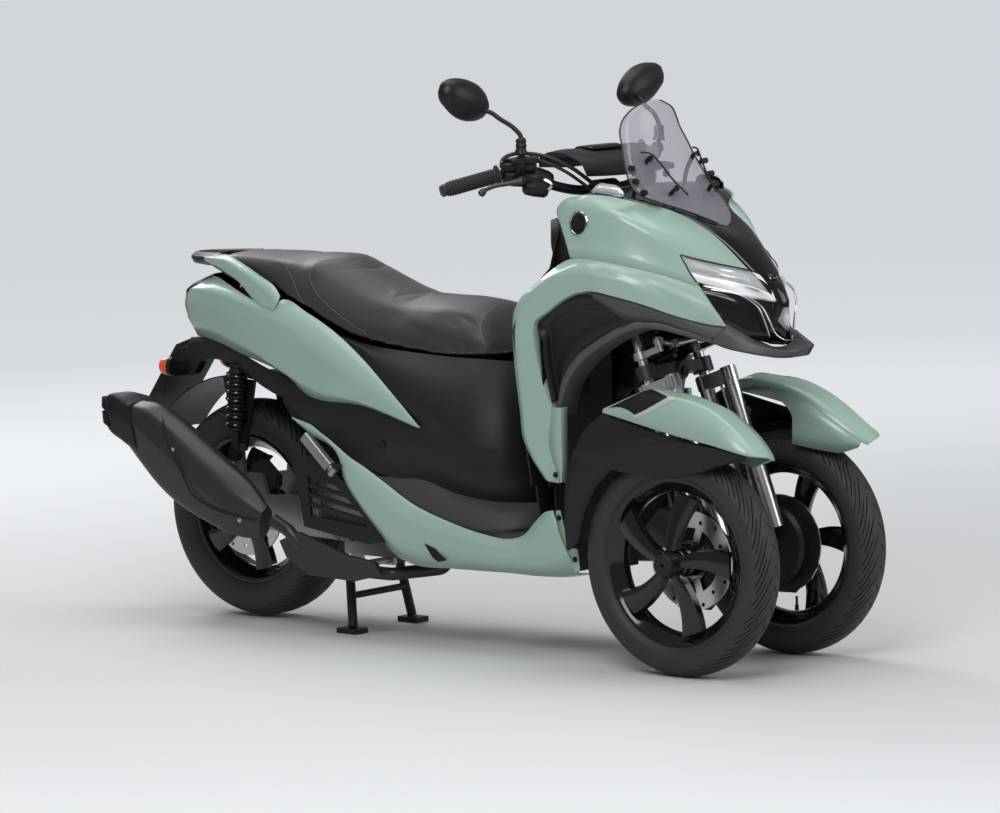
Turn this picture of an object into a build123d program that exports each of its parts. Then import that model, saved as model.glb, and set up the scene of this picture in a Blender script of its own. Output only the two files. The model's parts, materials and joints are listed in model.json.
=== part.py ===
from build123d import *
import os
from math import cos, radians, sin, tan

# A leaning three-wheeled scooter: two steered front wheels on inboard forks, one driven rear wheel.
# Millimetres. +X forward, +Y to the rider's left, +Z up, origin on the ground under the middle.

# ---- Driving dimensions -------------------------------------------------------------------
WHEELBASE = 1410.0
FRONT_AXLE_X = 747.5
FRONT_TRACK = 385.0
FRONT_TYRE_RADIUS = 250.0
FRONT_TYRE_WIDTH = 90.0
REAR_TYRE_RADIUS = 256.0
REAR_TYRE_WIDTH = 130.0
REAR_WHEEL_LIFT = 3.0          # the centre stand holds the rear tyre this far off the ground
FRONT_BEAD_RADIUS = 178.0
REAR_BEAD_RADIUS = 165.0
RAKE = 20.0                    # steering axes lean back by this angle
KINGPIN_Y = 100.0              # steering axis of each front wheel, from the centre plane
AXLE_LEAD = 22.0               # front axle ahead of its steering axis
STEM_SETBACK = 42.0            # handlebar axis behind the two wheel steering axes
STEER_ARM = 60.0               # length of all three steering arms
PANEL = 3.0                    # wall of the moulded panels
PANEL_GAP = 0.6                # shut line between two panels
RUN = 0.3                      # clearance at pins and seats
BAR_RADIUS = 11.0
ARM_Y = (-98.5, -88.5)         # side walls of the swinging arm and of the rear spring ears

REAR_AXLE_X = FRONT_AXLE_X - WHEELBASE
REAR_AXLE_Z = REAR_TYRE_RADIUS + REAR_WHEEL_LIFT
WHEEL_Y = FRONT_TRACK / 2


# ---- Helpers ------------------------------------------------------------------------------
def face_of(points):
    """Flat face through the points, in the plane's own two axes."""
    return make_face(Polyline(*points, close=True))


def side_slab(points, y_low, y_high):
    """Outline in X and Z, carried across from y_low to y_high."""
    return Pos(0, y_high, 0) * extrude(Plane.XZ * face_of(points), y_high - y_low)


def plan_slab(points, z_low, z_high):
    """Outline in X and Y, carried up from z_low to z_high."""
    return Pos(0, 0, z_low) * extrude(face_of(points), z_high - z_low)


def front_slab(points, x_low, x_high):
    """Outline in Y and Z, carried forward from x_low to x_high."""
    return Pos(x_low, 0, 0) * extrude(Plane.YZ * face_of(points), x_high - x_low)


def block(x, y, z):
    """Box between two limits on each axis, each given as (low, high)."""
    return plan_slab([(x[0], y[0]), (x[1], y[0]), (x[1], y[1]), (x[0], y[1])], z[0], z[1])


def rod(start, end, radius, bore=0.0):
    """Round bar or sleeve between two points."""
    line = Vector(*end) - Vector(*start)
    plane = Plane(origin=start, z_dir=line)
    section = Circle(radius) - Circle(bore) if bore else Circle(radius)
    return extrude(plane * section, line.length)


def bent_tube(points, radius, bend):
    """Tube along straight runs joined by arcs of the bend radius."""
    path = FilletPolyline(*points, radius=bend)
    return sweep(Plane(origin=path @ 0, z_dir=path % 0) * Circle(radius), path=path)


def across_rod(x, z, y_low, y_high, radius, bore=0.0):
    """Round bar or sleeve along Y."""
    return rod((x, y_low, z), (x, y_high, z), radius, bore)


def left_of(part):
    """The same piece on the rider's left."""
    return mirror(part, about=Plane.XZ)


def pair_of(part):
    """The right-hand piece and its mirror image."""
    return [part, left_of(part)]


def save(name, parts):
    """Write one node, made of one or more separate solids."""
    solids = []
    for part in parts if isinstance(parts, (list, tuple)) else [parts]:
        solids += part.solids()
    for index, solid in enumerate(solids):
        solid.label = f"{name}_{index}"
    export_step(Compound(children=solids), f"parts/{name}.step")


os.makedirs("parts", exist_ok=True)


# ---- Steering geometry --------------------------------------------------------------------
# Local frame of a steering axis: z up along the axis, x forward across it, origin level with
# the front axle. The handlebar axis is parallel, STEM_SETBACK behind.
KINGPIN_X = FRONT_AXLE_X - AXLE_LEAD * cos(radians(RAKE))
KINGPIN_Z = FRONT_TYRE_RADIUS - AXLE_LEAD * sin(radians(RAKE))
AXIS_DIR = Vector(-sin(radians(RAKE)), 0, cos(radians(RAKE)))
FORWARD_DIR = Vector(cos(radians(RAKE)), 0, sin(radians(RAKE)))


def on_axis(ahead, y, up):
    """World point from distances ahead of and up along the steering axes' plane."""
    point = Vector(KINGPIN_X, y, KINGPIN_Z) + FORWARD_DIR * ahead + AXIS_DIR * up
    return (point.X, point.Y, point.Z)


def axis_plane(ahead, y, up):
    """Plane square to the steering axes, its x axis forward and its y axis to the left."""
    return Plane(origin=on_axis(ahead, y, up), x_dir=FORWARD_DIR, z_dir=AXIS_DIR)


def raked_slab(points, up_low, up_high):
    """Outline in (ahead, y), carried up along the steering axes."""
    return extrude(axis_plane(0, 0, up_low) * face_of(points), up_high - up_low)


# ---- Wheels -------------------------------------------------------------------------------
SPOKES = 5
FLANGE = 11.0
RIM_WALL = 6.0
HUB_RADIUS = 34.0
DISC_RADIUS = 110.0
DISC_THICK = 4.0
DISC_HOLES = 15
DISC_HOLE_RADIUS = 4.5


def tyre(radius, width, bead, seat):
    """Hollow tyre about the Y axis: flat beads, round side walls and a crowned tread."""
    half, wall = width / 2, 9.0
    shoulder = (radius - 0.30 * width, half - 0.05 * width)
    outer = Polyline((bead, seat - wall - 3), (bead, seat), (bead + FLANGE + 2, seat))
    side = ThreePointArc((bead + FLANGE + 2, seat), (bead + 0.5 * (radius - bead), half), shoulder)
    crown = ThreePointArc(shoulder, (radius, 0), (shoulder[0], -shoulder[1]))
    back = mirror(side, about=Plane.XZ)
    foot = mirror(outer, about=Plane.XZ)
    cavity = ThreePointArc((bead, seat - wall - 3), (radius - wall - 3, 0), (bead, wall + 3 - seat))
    profile = make_face([*outer.edges(), side, crown, *back.edges(), *foot.edges(), cavity])
    return revolve(profile, Axis.Y)


def rim(bead, seat, hub_half, spoke_root, spoke_tip, spoke_depth, cap_reach):
    """Cast rim about the Y axis, outer face towards -Y: barrel, hollow-backed spokes and hub."""
    well = RIM_WALL + 12
    edge = [(bead + FLANGE, seat), (bead + FLANGE, seat + 5), (bead - RIM_WALL, seat + 4)]
    drop = [(bead - RIM_WALL, 0.62 * seat), (bead - well, 0.36 * seat)]
    outside = [(bead - well + RIM_WALL, 0.30 * seat), (bead - 2, 0.56 * seat), (bead, seat)]
    half = edge + drop
    profile = half + [(r, -y) for r, y in reversed(half)]
    profile += [(r, -y) for r, y in reversed(outside)] + outside
    barrel = revolve(face_of(profile), Axis.Y)
    hub = across_rod(0, 0, -hub_half, hub_half, HUB_RADIUS)
    if cap_reach:
        cap = across_rod(0, 0, -hub_half - cap_reach, -hub_half + 1, HUB_RADIUS - 4)
        hub += fillet(cap.edges().filter_by(GeomType.CIRCLE).sort_by(Axis.Y)[0], 8)
    tip_radius = bead - well + 2
    spoke = [(HUB_RADIUS - 6, -spoke_root), (tip_radius, -spoke_tip), (tip_radius, spoke_tip)]
    spoke.append((HUB_RADIUS - 6, spoke_root))
    pocket = [(HUB_RADIUS + 8, 5 - spoke_root), (tip_radius - 12, 6 - spoke_tip)]
    pocket += [(tip_radius - 12, spoke_tip - 6), (HUB_RADIUS + 8, spoke_root - 5)]
    blade = side_slab(spoke, -spoke_depth, spoke_depth)
    blade -= side_slab(pocket, 6 - spoke_depth, spoke_depth + 1)
    wheel = barrel + hub
    for index in range(SPOKES):
        wheel += Rot(0, 360 / SPOKES * index + 90, 0) * blade
    return wheel - across_rod(0, 0, -hub_half - 12, hub_half + 1, AXLE_RADIUS + 0.05)


def brake_disc(y_face):
    """Drilled disc about the Y axis on its five-armed carrier, one face at y_face."""
    ring = across_rod(0, 0, y_face, y_face + DISC_THICK, DISC_RADIUS, DISC_RADIUS - 38)
    carrier = across_rod(0, 0, y_face, y_face + DISC_THICK, HUB_RADIUS + 10, HUB_RADIUS - 8)
    for index in range(SPOKES):
        arm = [(HUB_RADIUS, -9), (DISC_RADIUS - 34, -9), (DISC_RADIUS - 34, 9), (HUB_RADIUS, 9)]
        turn = Rot(0, 360 / SPOKES * index, 0)
        carrier += turn * side_slab(arm, y_face, y_face + DISC_THICK)
    disc = ring + carrier
    for index in range(DISC_HOLES):
        radius = DISC_RADIUS - (10 if index % 2 else 22)
        hole = across_rod(radius, 0, y_face - 1, y_face + DISC_THICK + 1, DISC_HOLE_RADIUS)
        disc -= Rot(0, 360 / DISC_HOLES * index, 0) * hole
    return disc


AXLE_RADIUS = 8.0
FRONT_SEAT = 27.0
REAR_SEAT = 44.0
FRONT_HUB_HALF = 30.0
REAR_HUB_HALF = 52.0

front_tyre = tyre(FRONT_TYRE_RADIUS, FRONT_TYRE_WIDTH, FRONT_BEAD_RADIUS, FRONT_SEAT)
front_rim = rim(FRONT_BEAD_RADIUS, FRONT_SEAT, FRONT_HUB_HALF, 17, 27, 18, 44)
front_disc = brake_disc(FRONT_HUB_HALF)
to_front = Pos(FRONT_AXLE_X, -WHEEL_Y, FRONT_TYRE_RADIUS)
for name, part in (("tyre", front_tyre), ("rim", front_rim), ("disc", front_disc)):
    save(f"front_{name}_right", to_front * part)
    save(f"front_{name}_left", left_of(to_front * part))

rear_tyre = tyre(REAR_TYRE_RADIUS, REAR_TYRE_WIDTH, REAR_BEAD_RADIUS, REAR_SEAT)
rear_rim = rim(REAR_BEAD_RADIUS, REAR_SEAT, REAR_HUB_HALF, 17, 27, 30, 0)
rear_disc = brake_disc(-REAR_HUB_HALF - DISC_THICK)
to_rear = Pos(REAR_AXLE_X, 0, REAR_AXLE_Z)
for name, part in (("tyre", rear_tyre), ("rim", rear_rim), ("disc", rear_disc)):
    save(f"rear_{name}", to_rear * part)


# ---- Front forks, axles and leaning arms ---------------------------------------------------
TUBE_RADIUS = 17.0
SLIDER_RADIUS = 22.0
TUBE_AHEAD = (-6.0, 66.0)      # the two fork tubes, ahead of the steering axis
SLIDER_UP = (30.0, 225.0)
TUBE_TOP = 405.0
KNUCKLE_UP = (372.0, 402.0)    # block that joins the tubes to the kingpin
KINGPIN_RADIUS = 12.0
KINGPIN_TOP = 566.0
LOWER_ARM_UP = (412.0, 444.0)
UPPER_ARM_UP = (526.0, 558.0)
TRACK_ROD_UP = (474.0, 490.0)
PIVOT_RADIUS = 10.0             # pins on which the arms lean
KINGPIN_Y_TO_CALIPER = WHEEL_Y - FRONT_HUB_HALF - 20 - RUN - KINGPIN_Y
KINGPIN_Y_TO_GUARD = 30.0 - RUN
ARM_EYE = 24.0                 # outer radius of the arm's eye round a kingpin


def fork(y):
    """Right fork: paired sliders and tubes, axle, knuckle, kingpin and steering arm in one."""
    body = rod(on_axis(0, y, KNUCKLE_UP[0] + 4), on_axis(0, y, KINGPIN_TOP), KINGPIN_RADIUS)
    front, rear = TUBE_AHEAD[1] + 12, TUBE_AHEAD[0] - 12
    knuckle = [(rear, y - 16), (front, y - 16), (front, y + 16), (rear, y + 16)]
    body += raked_slab(knuckle, *KNUCKLE_UP)
    for ahead in TUBE_AHEAD:
        body += rod(on_axis(ahead, y, SLIDER_UP[1] - 5), on_axis(ahead, y, TUBE_TOP), TUBE_RADIUS)
        body += rod(on_axis(ahead, y, SLIDER_UP[0]), on_axis(ahead, y, SLIDER_UP[1]), SLIDER_RADIUS)
    body += raked_slab(knuckle, 50, 80)
    x, z = FRONT_AXLE_X, FRONT_TYRE_RADIUS
    clamp = [(AXLE_LEAD - 18, y - 15), (AXLE_LEAD + 18, y - 15), (AXLE_LEAD + 18, y + 15),
             (AXLE_LEAD - 18, y + 15)]
    body += raked_slab(clamp, 4, 60)
    body += across_rod(x, z, y - 29, y + 21, 26)
    # Lugs for the brake caliper and, one on each tube, for the mudguard.
    body += across_rod(686, 318, y - KINGPIN_Y_TO_CALIPER, y, 14)
    for ahead in TUBE_AHEAD:
        lug = on_axis(ahead, y, 300)
        body += across_rod(lug[0], lug[2], y - KINGPIN_Y_TO_GUARD, y, 9)
    body += across_rod(x, z, -WHEEL_Y - FRONT_HUB_HALF - 10, y, AXLE_RADIUS)
    arm = [(0, y - 9), (STEER_ARM, y - 9), (STEER_ARM, y + 9), (0, y + 9)]
    body += raked_slab(arm, TRACK_ROD_UP[0] - 14, TRACK_ROD_UP[0] - RUN)
    body += rod(on_axis(0, y, TRACK_ROD_UP[0] - 15), on_axis(0, y, TRACK_ROD_UP[0] + 2), 20)
    body += rod(on_axis(STEER_ARM, y, TRACK_ROD_UP[0] - 13), on_axis(STEER_ARM, y, TRACK_ROD_UP[1] + 4), 6)
    # Brake hose, from the caliper's lug up between the tubes into the knuckle.
    route = [on_axis(-6, y - 30, 90), on_axis(8, y - 30, 130), on_axis(30, y - 14, 200), on_axis(30, y - 8, 374)]
    return body + bent_tube(route, 3.5, 16)


right_fork = fork(-KINGPIN_Y)

# Round cover over the hub on the fork side, with the flat eight-sided guard behind it.
COVER_Y = (-WHEEL_Y + FRONT_HUB_HALF + DISC_THICK + 4, -KINGPIN_Y - 24)
guard = RegularPolygon(DISC_RADIUS + 6, 8, rotation=22.5)
guard = Pos(FRONT_AXLE_X, COVER_Y[0] + PANEL, FRONT_TYRE_RADIUS) * extrude(Plane.XZ * guard, PANEL)
dome = across_rod(FRONT_AXLE_X - 6, FRONT_TYRE_RADIUS, COVER_Y[0] + PANEL, COVER_Y[1], 92)
dome = chamfer(dome.edges().sort_by(Axis.Y)[-1], 8)
dome -= across_rod(FRONT_AXLE_X - 6, FRONT_TYRE_RADIUS, COVER_Y[0], COVER_Y[1] - 11, 88)
dome -= across_rod(FRONT_AXLE_X - 6, FRONT_TYRE_RADIUS, COVER_Y[0], COVER_Y[1] - PANEL, 80)
hub_cover = guard + dome
hub_cover -= across_rod(FRONT_AXLE_X, FRONT_TYRE_RADIUS, COVER_Y[0] - 1, COVER_Y[1] + 1, 26 + RUN)

# Caliper astride the disc, behind and above the axle, on its arm from the fork.
CALIPER_TURN = -48.0
CALIPER_LOW = 72.0


def brake_caliper(y_low, y_high):
    """Caliper over the top of a disc about the Y axis, its pad slot open towards the axle."""
    top = DISC_RADIUS + 24
    outline = [(-36, CALIPER_LOW), (36, CALIPER_LOW), (42, top - 20), (28, top), (-28, top), (-42, top - 20)]
    slot = [(-60, CALIPER_LOW - 9), (60, CALIPER_LOW - 9), (60, DISC_RADIUS + 6), (-60, DISC_RADIUS + 6)]
    return side_slab(outline, y_low, y_high) - side_slab(slot, -2, DISC_THICK + 2)


caliper = Rot(0, CALIPER_TURN, 0) * brake_caliper(-9, 20)
caliper = Pos(FRONT_AXLE_X, FRONT_HUB_HALF - WHEEL_Y, FRONT_TYRE_RADIUS) * caliper
caliper_room = block((-46, 46), (-80, 80), (CALIPER_LOW - 4, DISC_RADIUS + 40))
hub_cover -= Pos(FRONT_AXLE_X, -WHEEL_Y, FRONT_TYRE_RADIUS) * (Rot(0, CALIPER_TURN, 0) * caliper_room)

for name, part in (("fork", right_fork), ("hub_cover", hub_cover), ("brake_caliper", caliper)):
    save(f"{name}_right", part)
    save(f"{name}_left", left_of(part))


def lean_arm(up_low, up_high):
    """Crossbeam with an eye round each kingpin and a sleeve fore and aft at its middle."""
    outline = [(-14, -KINGPIN_Y), (-4, -36), (-4, 36), (-14, KINGPIN_Y),
               (14, KINGPIN_Y), (22, 36), (22, -36), (14, -KINGPIN_Y)]
    beam = raked_slab(outline, up_low + 3, up_high - 3)
    for y in (-KINGPIN_Y, KINGPIN_Y):
        beam += rod(on_axis(0, y, up_low), on_axis(0, y, up_high), ARM_EYE)
    middle = on_axis(0, 0, (up_low + up_high) / 2)
    beam += rod((middle[0] - 8, 0, middle[2]), (middle[0] + 28, 0, middle[2]), 20)
    beam -= rod((middle[0] - 30, 0, middle[2]), (middle[0] + 40, 0, middle[2]), PIVOT_RADIUS + RUN)
    for y in (-KINGPIN_Y, KINGPIN_Y):
        beam -= rod(on_axis(0, y, up_low - 1), on_axis(0, y, up_high + 1), KINGPIN_RADIUS + RUN)
    return beam


save("lean_arms", [lean_arm(*UPPER_ARM_UP), lean_arm(*LOWER_ARM_UP)])

# One track rod joins the three equal steering arms and keeps its direction as they turn.
rod_level = sum(TRACK_ROD_UP) / 2
centre_pin = STEER_ARM - STEM_SETBACK
track_rod = rod(on_axis(STEER_ARM, -KINGPIN_Y, rod_level), on_axis(centre_pin, 0, rod_level), 7)
track_rod += rod(on_axis(STEER_ARM, KINGPIN_Y, rod_level), on_axis(centre_pin, 0, rod_level), 7)
for ahead, y in ((STEER_ARM, -KINGPIN_Y), (STEER_ARM, KINGPIN_Y), (centre_pin, 0)):
    track_rod += rod(on_axis(ahead, y, TRACK_ROD_UP[0]), on_axis(ahead, y, TRACK_ROD_UP[1]), 13)
for ahead, y in ((STEER_ARM, -KINGPIN_Y), (STEER_ARM, KINGPIN_Y), (centre_pin, 0)):
    track_rod -= rod(on_axis(ahead, y, TRACK_ROD_UP[0] - 1), on_axis(ahead, y, TRACK_ROD_UP[1] + 1),
                     6 + RUN)
save("track_rod", track_rod)


# ---- Mudguards, one over each front wheel, turning with its fork ---------------------------
GUARD_Y = (-257.0, -130.0)
guard_line = [(465, 273), (463, 344), (486, 472), (530, 530), (578, 583), (636, 622), (700, 627),
              (781, 612), (856, 578), (919, 532), (990, 486), (975, 466), (747, 466)]
guard_line += [(600, 430), (500, 273)]
inner_line = [(469, 260), (467, 343), (490, 470), (533, 527), (581, 579), (637, 618), (699, 623),
              (780, 608), (854, 574), (917, 528), (982, 486), (970, 440), (600, 400), (505, 260)]
split_line = [(440, 592), (578, 578), (686, 566), (821, 536), (918, 510), (1010, 478)]
shell_right = side_slab(guard_line, *GUARD_Y)
shell_right -= side_slab(inner_line, GUARD_Y[0] + PANEL, GUARD_Y[1] - PANEL)
shell_right -= across_rod(FRONT_AXLE_X, FRONT_TYRE_RADIUS, -300, -100, FRONT_TYRE_RADIUS + 14)
above = side_slab(split_line + [(1010, 700), (440, 700)], -300, -100)
below = side_slab([(x, z - PANEL_GAP) for x, z in split_line] + [(1010, 200), (440, 200)], -300, -100)
mudguard = [shell_right & above, shell_right & below]
save("mudguard_right", mudguard)
save("mudguard_left", [left_of(part) for part in mudguard])


# ---- Front fairing ------------------------------------------------------------------------
# Plan sections of the fairing, low to high: height, then the four corners of one half as
# x and y at the rear edge, the shoulder, beside the headlight and at the nose.
FAIRING = [
    # z,    rear x, y,   shoulder x, y, lamp x, y, nose x, y
    (395, 300, 222, 600, 222, 850, 150, 940, 30),
    (560, 300, 232, 600, 232, 850, 160, 955, 30),
    (700, 300, 243, 600, 240, 862, 135, 970, 26),
    (772, 300, 246, 600, 246, 851, 166, 960, 24),
    (845, 300, 244, 590, 243, 822, 178, 918, 26),
    (915, 300, 226, 600, 228, 768, 186, 880, 34),
    (985, 300, 206, 600, 206, 735, 150, 812, 48),
    (1045, 300, 192, 560, 192, 660, 140, 706, 84),
]


def lofted(rows, inset):
    """Closed body through plan sections, every wall moved in by the inset."""
    faces = []
    for z, *corners in rows:
        xs, ys = corners[0::2], corners[1::2]
        half = [(xs[0] + inset, ys[0] - inset)]
        half += [(x - (inset if i == len(xs) - 2 else 0), y - inset)
                 for i, (x, y) in enumerate(zip(xs[1:], ys[1:]))]
        half[-1] = (half[-1][0] - inset, half[-1][1])
        ring = [(x, -y) for x, y in half] + [(x, y) for x, y in reversed(half)]
        faces.append(Pos(0, 0, z) * face_of(ring))
    return loft(faces, ruled=True)


fairing = lofted(FAIRING, 0)
cavity_rows = [(z - (PANEL if z == FAIRING[-1][0] else 0), *rest) for z, *rest in FAIRING]
fairing_shell = fairing - lofted(cavity_rows, PANEL)

side_line = [(421, 1014), (482, 1040), (540, 1046), (900, 1046), (900, 884), (854, 884), (757, 916),
             (853, 768), (826, 778), (676, 816), (529, 840), (489, 828), (390, 774), (373, 755),
             (379, 704), (414, 575), (444, 572), (427, 406), (387, 410), (332, 497), (318, 640),
             (314, 735), (332, 785), (376, 832), (440, 876), (479, 904), (423, 985)]
centre_plan = [(540, 178), (633, 162), (705, 138), (777, 102), (851, 62), (905, 20)]
centre_zone = [(x, -y) for x, y in centre_plan] + [(x, y) for x, y in reversed(centre_plan)]
side_zone = offset(face_of(centre_zone), PANEL_GAP, kind=Kind.INTERSECTION)
side_cowl = fairing_shell & side_slab(side_line, -300, -8)
side_cowl -= Pos(0, 0, 850) * extrude(side_zone, 250)
save("side_cowls", pair_of(side_cowl))

centre_cowl = fairing_shell & plan_slab(centre_zone, 886, 1100)
save("centre_cowl", centre_cowl)

# Wedge headlights between the cowls, and the dark chin under them.
lamp_line = [(764, 912), (854, 883.4), (920, 883.4), (935, 842), (900, 812), (849, 778), (805, 846)]
lamp_zone = side_slab(lamp_line, -300, -12)
headlight = fairing_shell & lamp_zone
save("headlights", pair_of(headlight))
chin_line = [(850, 764), (819, 745), (866, 713), (922, 698), (975, 696), (990, 712), (975, 790),
             (940, 836), (903, 806)]
chin = fairing_shell & side_slab(chin_line, -300, 300)
save("chin", chin)

# Dark wheel-arch panels inside the body-coloured band.
arch_line = [(828, 775), (676, 813), (531, 837), (491, 825), (392, 771), (377, 753), (383, 706),
             (417, 578), (425, 578), (449, 640), (507, 700), (575, 738), (647, 760), (742, 758),
             (817, 742)]
arch = fairing_shell & side_slab(arch_line, -300, -8)
save("arch_panels", pair_of(arch))


# ---- Windscreen ---------------------------------------------------------------------------
SCREEN_WALL = 3.0
SCREEN_BOW = 250.0             # radius of the bow seen along the slope
screen_low, screen_high = Vector(785, 0, 965), Vector(541, 0, 1244)
screen_slope = (screen_high - screen_low).normalized()
screen_plane = Plane(origin=screen_low - screen_slope * 60, x_dir=(0, 1, 0), z_dir=screen_slope)
bow = Circle(SCREEN_BOW) - Circle(SCREEN_BOW - SCREEN_WALL)
sign = -1 if screen_plane.y_dir.X > 0 else 1
bow = Pos(0, sign * SCREEN_BOW, 0) * bow
tube_wall = extrude(screen_plane * bow, 520)
half_screen = [(0, 965), (60, 986), (130, 1015), (172, 1040), (178, 1068), (165, 1119),
               (150, 1161), (120, 1207), (60, 1237), (0, 1244)]
screen_line = half_screen + [(-y, z) for y, z in reversed(half_screen[1:-1])]
windscreen = (tube_wall & front_slab(screen_line, 480, 860)) - fairing
save("windscreen", windscreen)


# ---- Frame --------------------------------------------------------------------------------
HEAD_UP = (520.0, 760.0)
STEM_RADIUS = 14.0
stem_low = on_axis(-STEM_SETBACK, 0, HEAD_UP[0])
stem_high = on_axis(-STEM_SETBACK, 0, HEAD_UP[1])
head = rod(stem_low, stem_high, 27)
pivot_high = on_axis(0, 0, sum(UPPER_ARM_UP) / 2)
pivot_low = on_axis(0, 0, sum(LOWER_ARM_UP) / 2)
SHOCK_LOW, SHOCK_HIGH = (-648.0, 393.0), (-632.0, 640.0)      # x and z of the spring eyes
SHOCK_PIN = 6.0
SIDE_X, SIDE_Y, SIDE_Z, SIDE_LEN = -40.0, 150.0, 178.0, 150.0
head += rod((pivot_high[0] - 44, 0, pivot_high[2]), (pivot_high[0] + 34, 0, pivot_high[2]), PIVOT_RADIUS)
head += rod((470, 0, pivot_low[2]), (pivot_low[0] + 34, 0, pivot_low[2]), PIVOT_RADIUS)
head += block((452, 486), (-22, 22), (600, 850))
head += rod((470, 0, pivot_low[2]), (pivot_low[0] - 12, 0, pivot_low[2]), 18)
DOWN_TUBE = [(474, 0, 650), (412, 0, 570), (412, 0, 226), (370, 0, 226)]
down = bent_tube(DOWN_TUBE, 22, 30)
RAIL_LINE = [(404, -20, 226), (340, -112, 222), (60, -112, 222), (-70, -130, 330),
             (-170, -150, 590), (-430, -138, 640), (-690, -88, 700)]
rail = bent_tube(RAIL_LINE, 14, 36)
frame = head + down + rail + left_of(rail)
# Cross tubes: x, z and half length.
for x, z, half in ((60, 222, 112), (-117, 452, 193.4), (-600, 679, 133.2)):
    frame += across_rod(x, z, -half, half, 12)
frame -= rod(on_axis(-STEM_SETBACK, 0, 450), on_axis(-STEM_SETBACK, 0, HEAD_UP[0]), STEM_RADIUS + 6)
frame -= rod(on_axis(-STEM_SETBACK, 0, 450), on_axis(-STEM_SETBACK, 0, HEAD_UP[1] + 60),
             STEM_RADIUS + RUN)
# Plate across the tail for the lamp, rests for the floor, and a boom to the fairing's cross bar.
frame += block((-700 + RUN, -686), (-90, 90), (690, 716))
for y in (-118, 104):
    frame += block((200, 232), (y, y + 14), (222, 255 - RUN))
frame += rod((500, 0, 838), (560, 0, 900), 11) + across_rod(560, 900, -226, 226, 8)
for y in (-21, 17):
    frame += block((470, 514), (y, y + 4), (812, 846))
frame += block((503, 511), (-19, 19), (816, 842))
# Ears that hold the upper eyes of the rear springs.
spring_ear = side_slab([(-646, 628), (-618, 628), (-618, 700), (-646, 694)], *ARM_Y)
spring_ear -= across_rod(SHOCK_HIGH[0], SHOCK_HIGH[1], -120, -80, SHOCK_PIN + 0.05)
frame += spring_ear + left_of(spring_ear)
# Side stand bracket under the left rail.
bracket = block((SIDE_X - 16, SIDE_X + 30), (104, SIDE_Y - 9.5), (SIDE_Z - 14, 214))
bracket += rod((SIDE_X, 120, SIDE_Z), (SIDE_X, SIDE_Y + 14, SIDE_Z), 6)
bracket += block((SIDE_X - 16, SIDE_X + 96), (104, 120), (196, 232))
frame += bracket
# Holders of the pillion pegs: a pin between two ears, on a plate from the rail.
PEG_X, PEG_Y, PEG_Z, PEG_RISE = -240.0, -222.0, 392.0, 42.0
peg_dir = Vector(-cos(radians(PEG_RISE)), 0, sin(radians(PEG_RISE)))
peg_pin = Vector(sin(radians(PEG_RISE)), 0, cos(radians(PEG_RISE)))
peg_root = Vector(PEG_X, PEG_Y, PEG_Z)
holder = rod(peg_root - peg_pin * 17, peg_root + peg_pin * 17, 5)
for side in (-1, 1):
    holder += rod(peg_root + peg_pin * (11.5 * side), peg_root + peg_pin * (17 * side), 9)
arm_end = peg_root + Vector(0, 74, 0)
for side in (-1, 1):
    spot = peg_pin * (14.2 * side)
    holder += rod(peg_root + spot, arm_end + spot, 2.2)
holder += side_slab([(-88, 424), (-236, 412), (-262, 384), (-244, 368), (-80, 376)], -150, -140)
frame += holder + left_of(holder)
save("frame", frame)


# ---- Handlebar ----------------------------------------------------------------------------
BAR_UP = 862.0                 # height of the bar clamp along the steering axis
stem = rod(on_axis(-STEM_SETBACK, 0, TRACK_ROD_UP[0] - 16), on_axis(-STEM_SETBACK, 0, BAR_UP),
           STEM_RADIUS)
pitman = [(-STEM_SETBACK, -10), (centre_pin, -10), (centre_pin, 10), (-STEM_SETBACK, 10)]
stem += raked_slab(pitman, TRACK_ROD_UP[0] - 16, TRACK_ROD_UP[0] - RUN)
stem += rod(on_axis(centre_pin, 0, TRACK_ROD_UP[0] - 16), on_axis(centre_pin, 0, TRACK_ROD_UP[1] + 4), 6)
bar_mid = on_axis(-STEM_SETBACK, 0, BAR_UP)
stem += block((bar_mid[0] - 24, bar_mid[0] + 24), (-36, 36), (bar_mid[2] - 34, bar_mid[2] + 24 - RUN))
BAR_HALF = [(0, 0), (-6, -80), (-40, -165), (-96, -240), (-170, -345)]
BAR_RISE = [0, 0, 16, 8, -24]
bar_points = [(bar_mid[0] + x, y, bar_mid[2] + rise) for (x, y), rise in zip(BAR_HALF, BAR_RISE)]
full_bar = bar_points[::-1] + [(x, -y, z) for x, y, z in bar_points[1:]]
handlebar = stem + bent_tube(full_bar, BAR_RADIUS, 40)
save("handlebar", handlebar)

grip_end, grip_root = Vector(*bar_points[4]), Vector(*bar_points[3])
grip_dir = (grip_end - grip_root).normalized()
grip = rod(grip_root + grip_dir * 8, grip_end - grip_dir * 2, 17, BAR_RADIUS + 0.2)
save("grips", pair_of(grip))
house_dir = (Vector(*bar_points[2]) - Vector(*bar_points[3])).normalized()
housing = rod(grip_root + house_dir * 24, grip_root + house_dir * 74, 23, BAR_RADIUS + 0.2)
lever_root = grip_root + house_dir * 40 + Vector(34, -6, -10)
lever_line = [tuple(lever_root), tuple(lever_root + Vector(14, -46, -12)),
              tuple(lever_root + Vector(-44, -142, -34))]
lever = bent_tube(lever_line, 6, 16)
lever += rod(lever_root + Vector(-16, 2, 2), lever_root + Vector(12, -4, 0), 9)

# Brake hoses: out of each housing, forward in a loop and back into the bar clamp.
HOSE_RADIUS = 4.0
HOSE_TURNS = [(-53, -209, 12), (-14, -190, 42), (40, -118, 52), (66, -56, 8), (52, -24, -12), (24.3, -24, -12)]
hose = bent_tube([(bar_mid[0] + x, y, bar_mid[2] + z) for x, y, z in HOSE_TURNS], HOSE_RADIUS, 16)
save("hand_controls", pair_of(housing + lever + hose))

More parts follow.
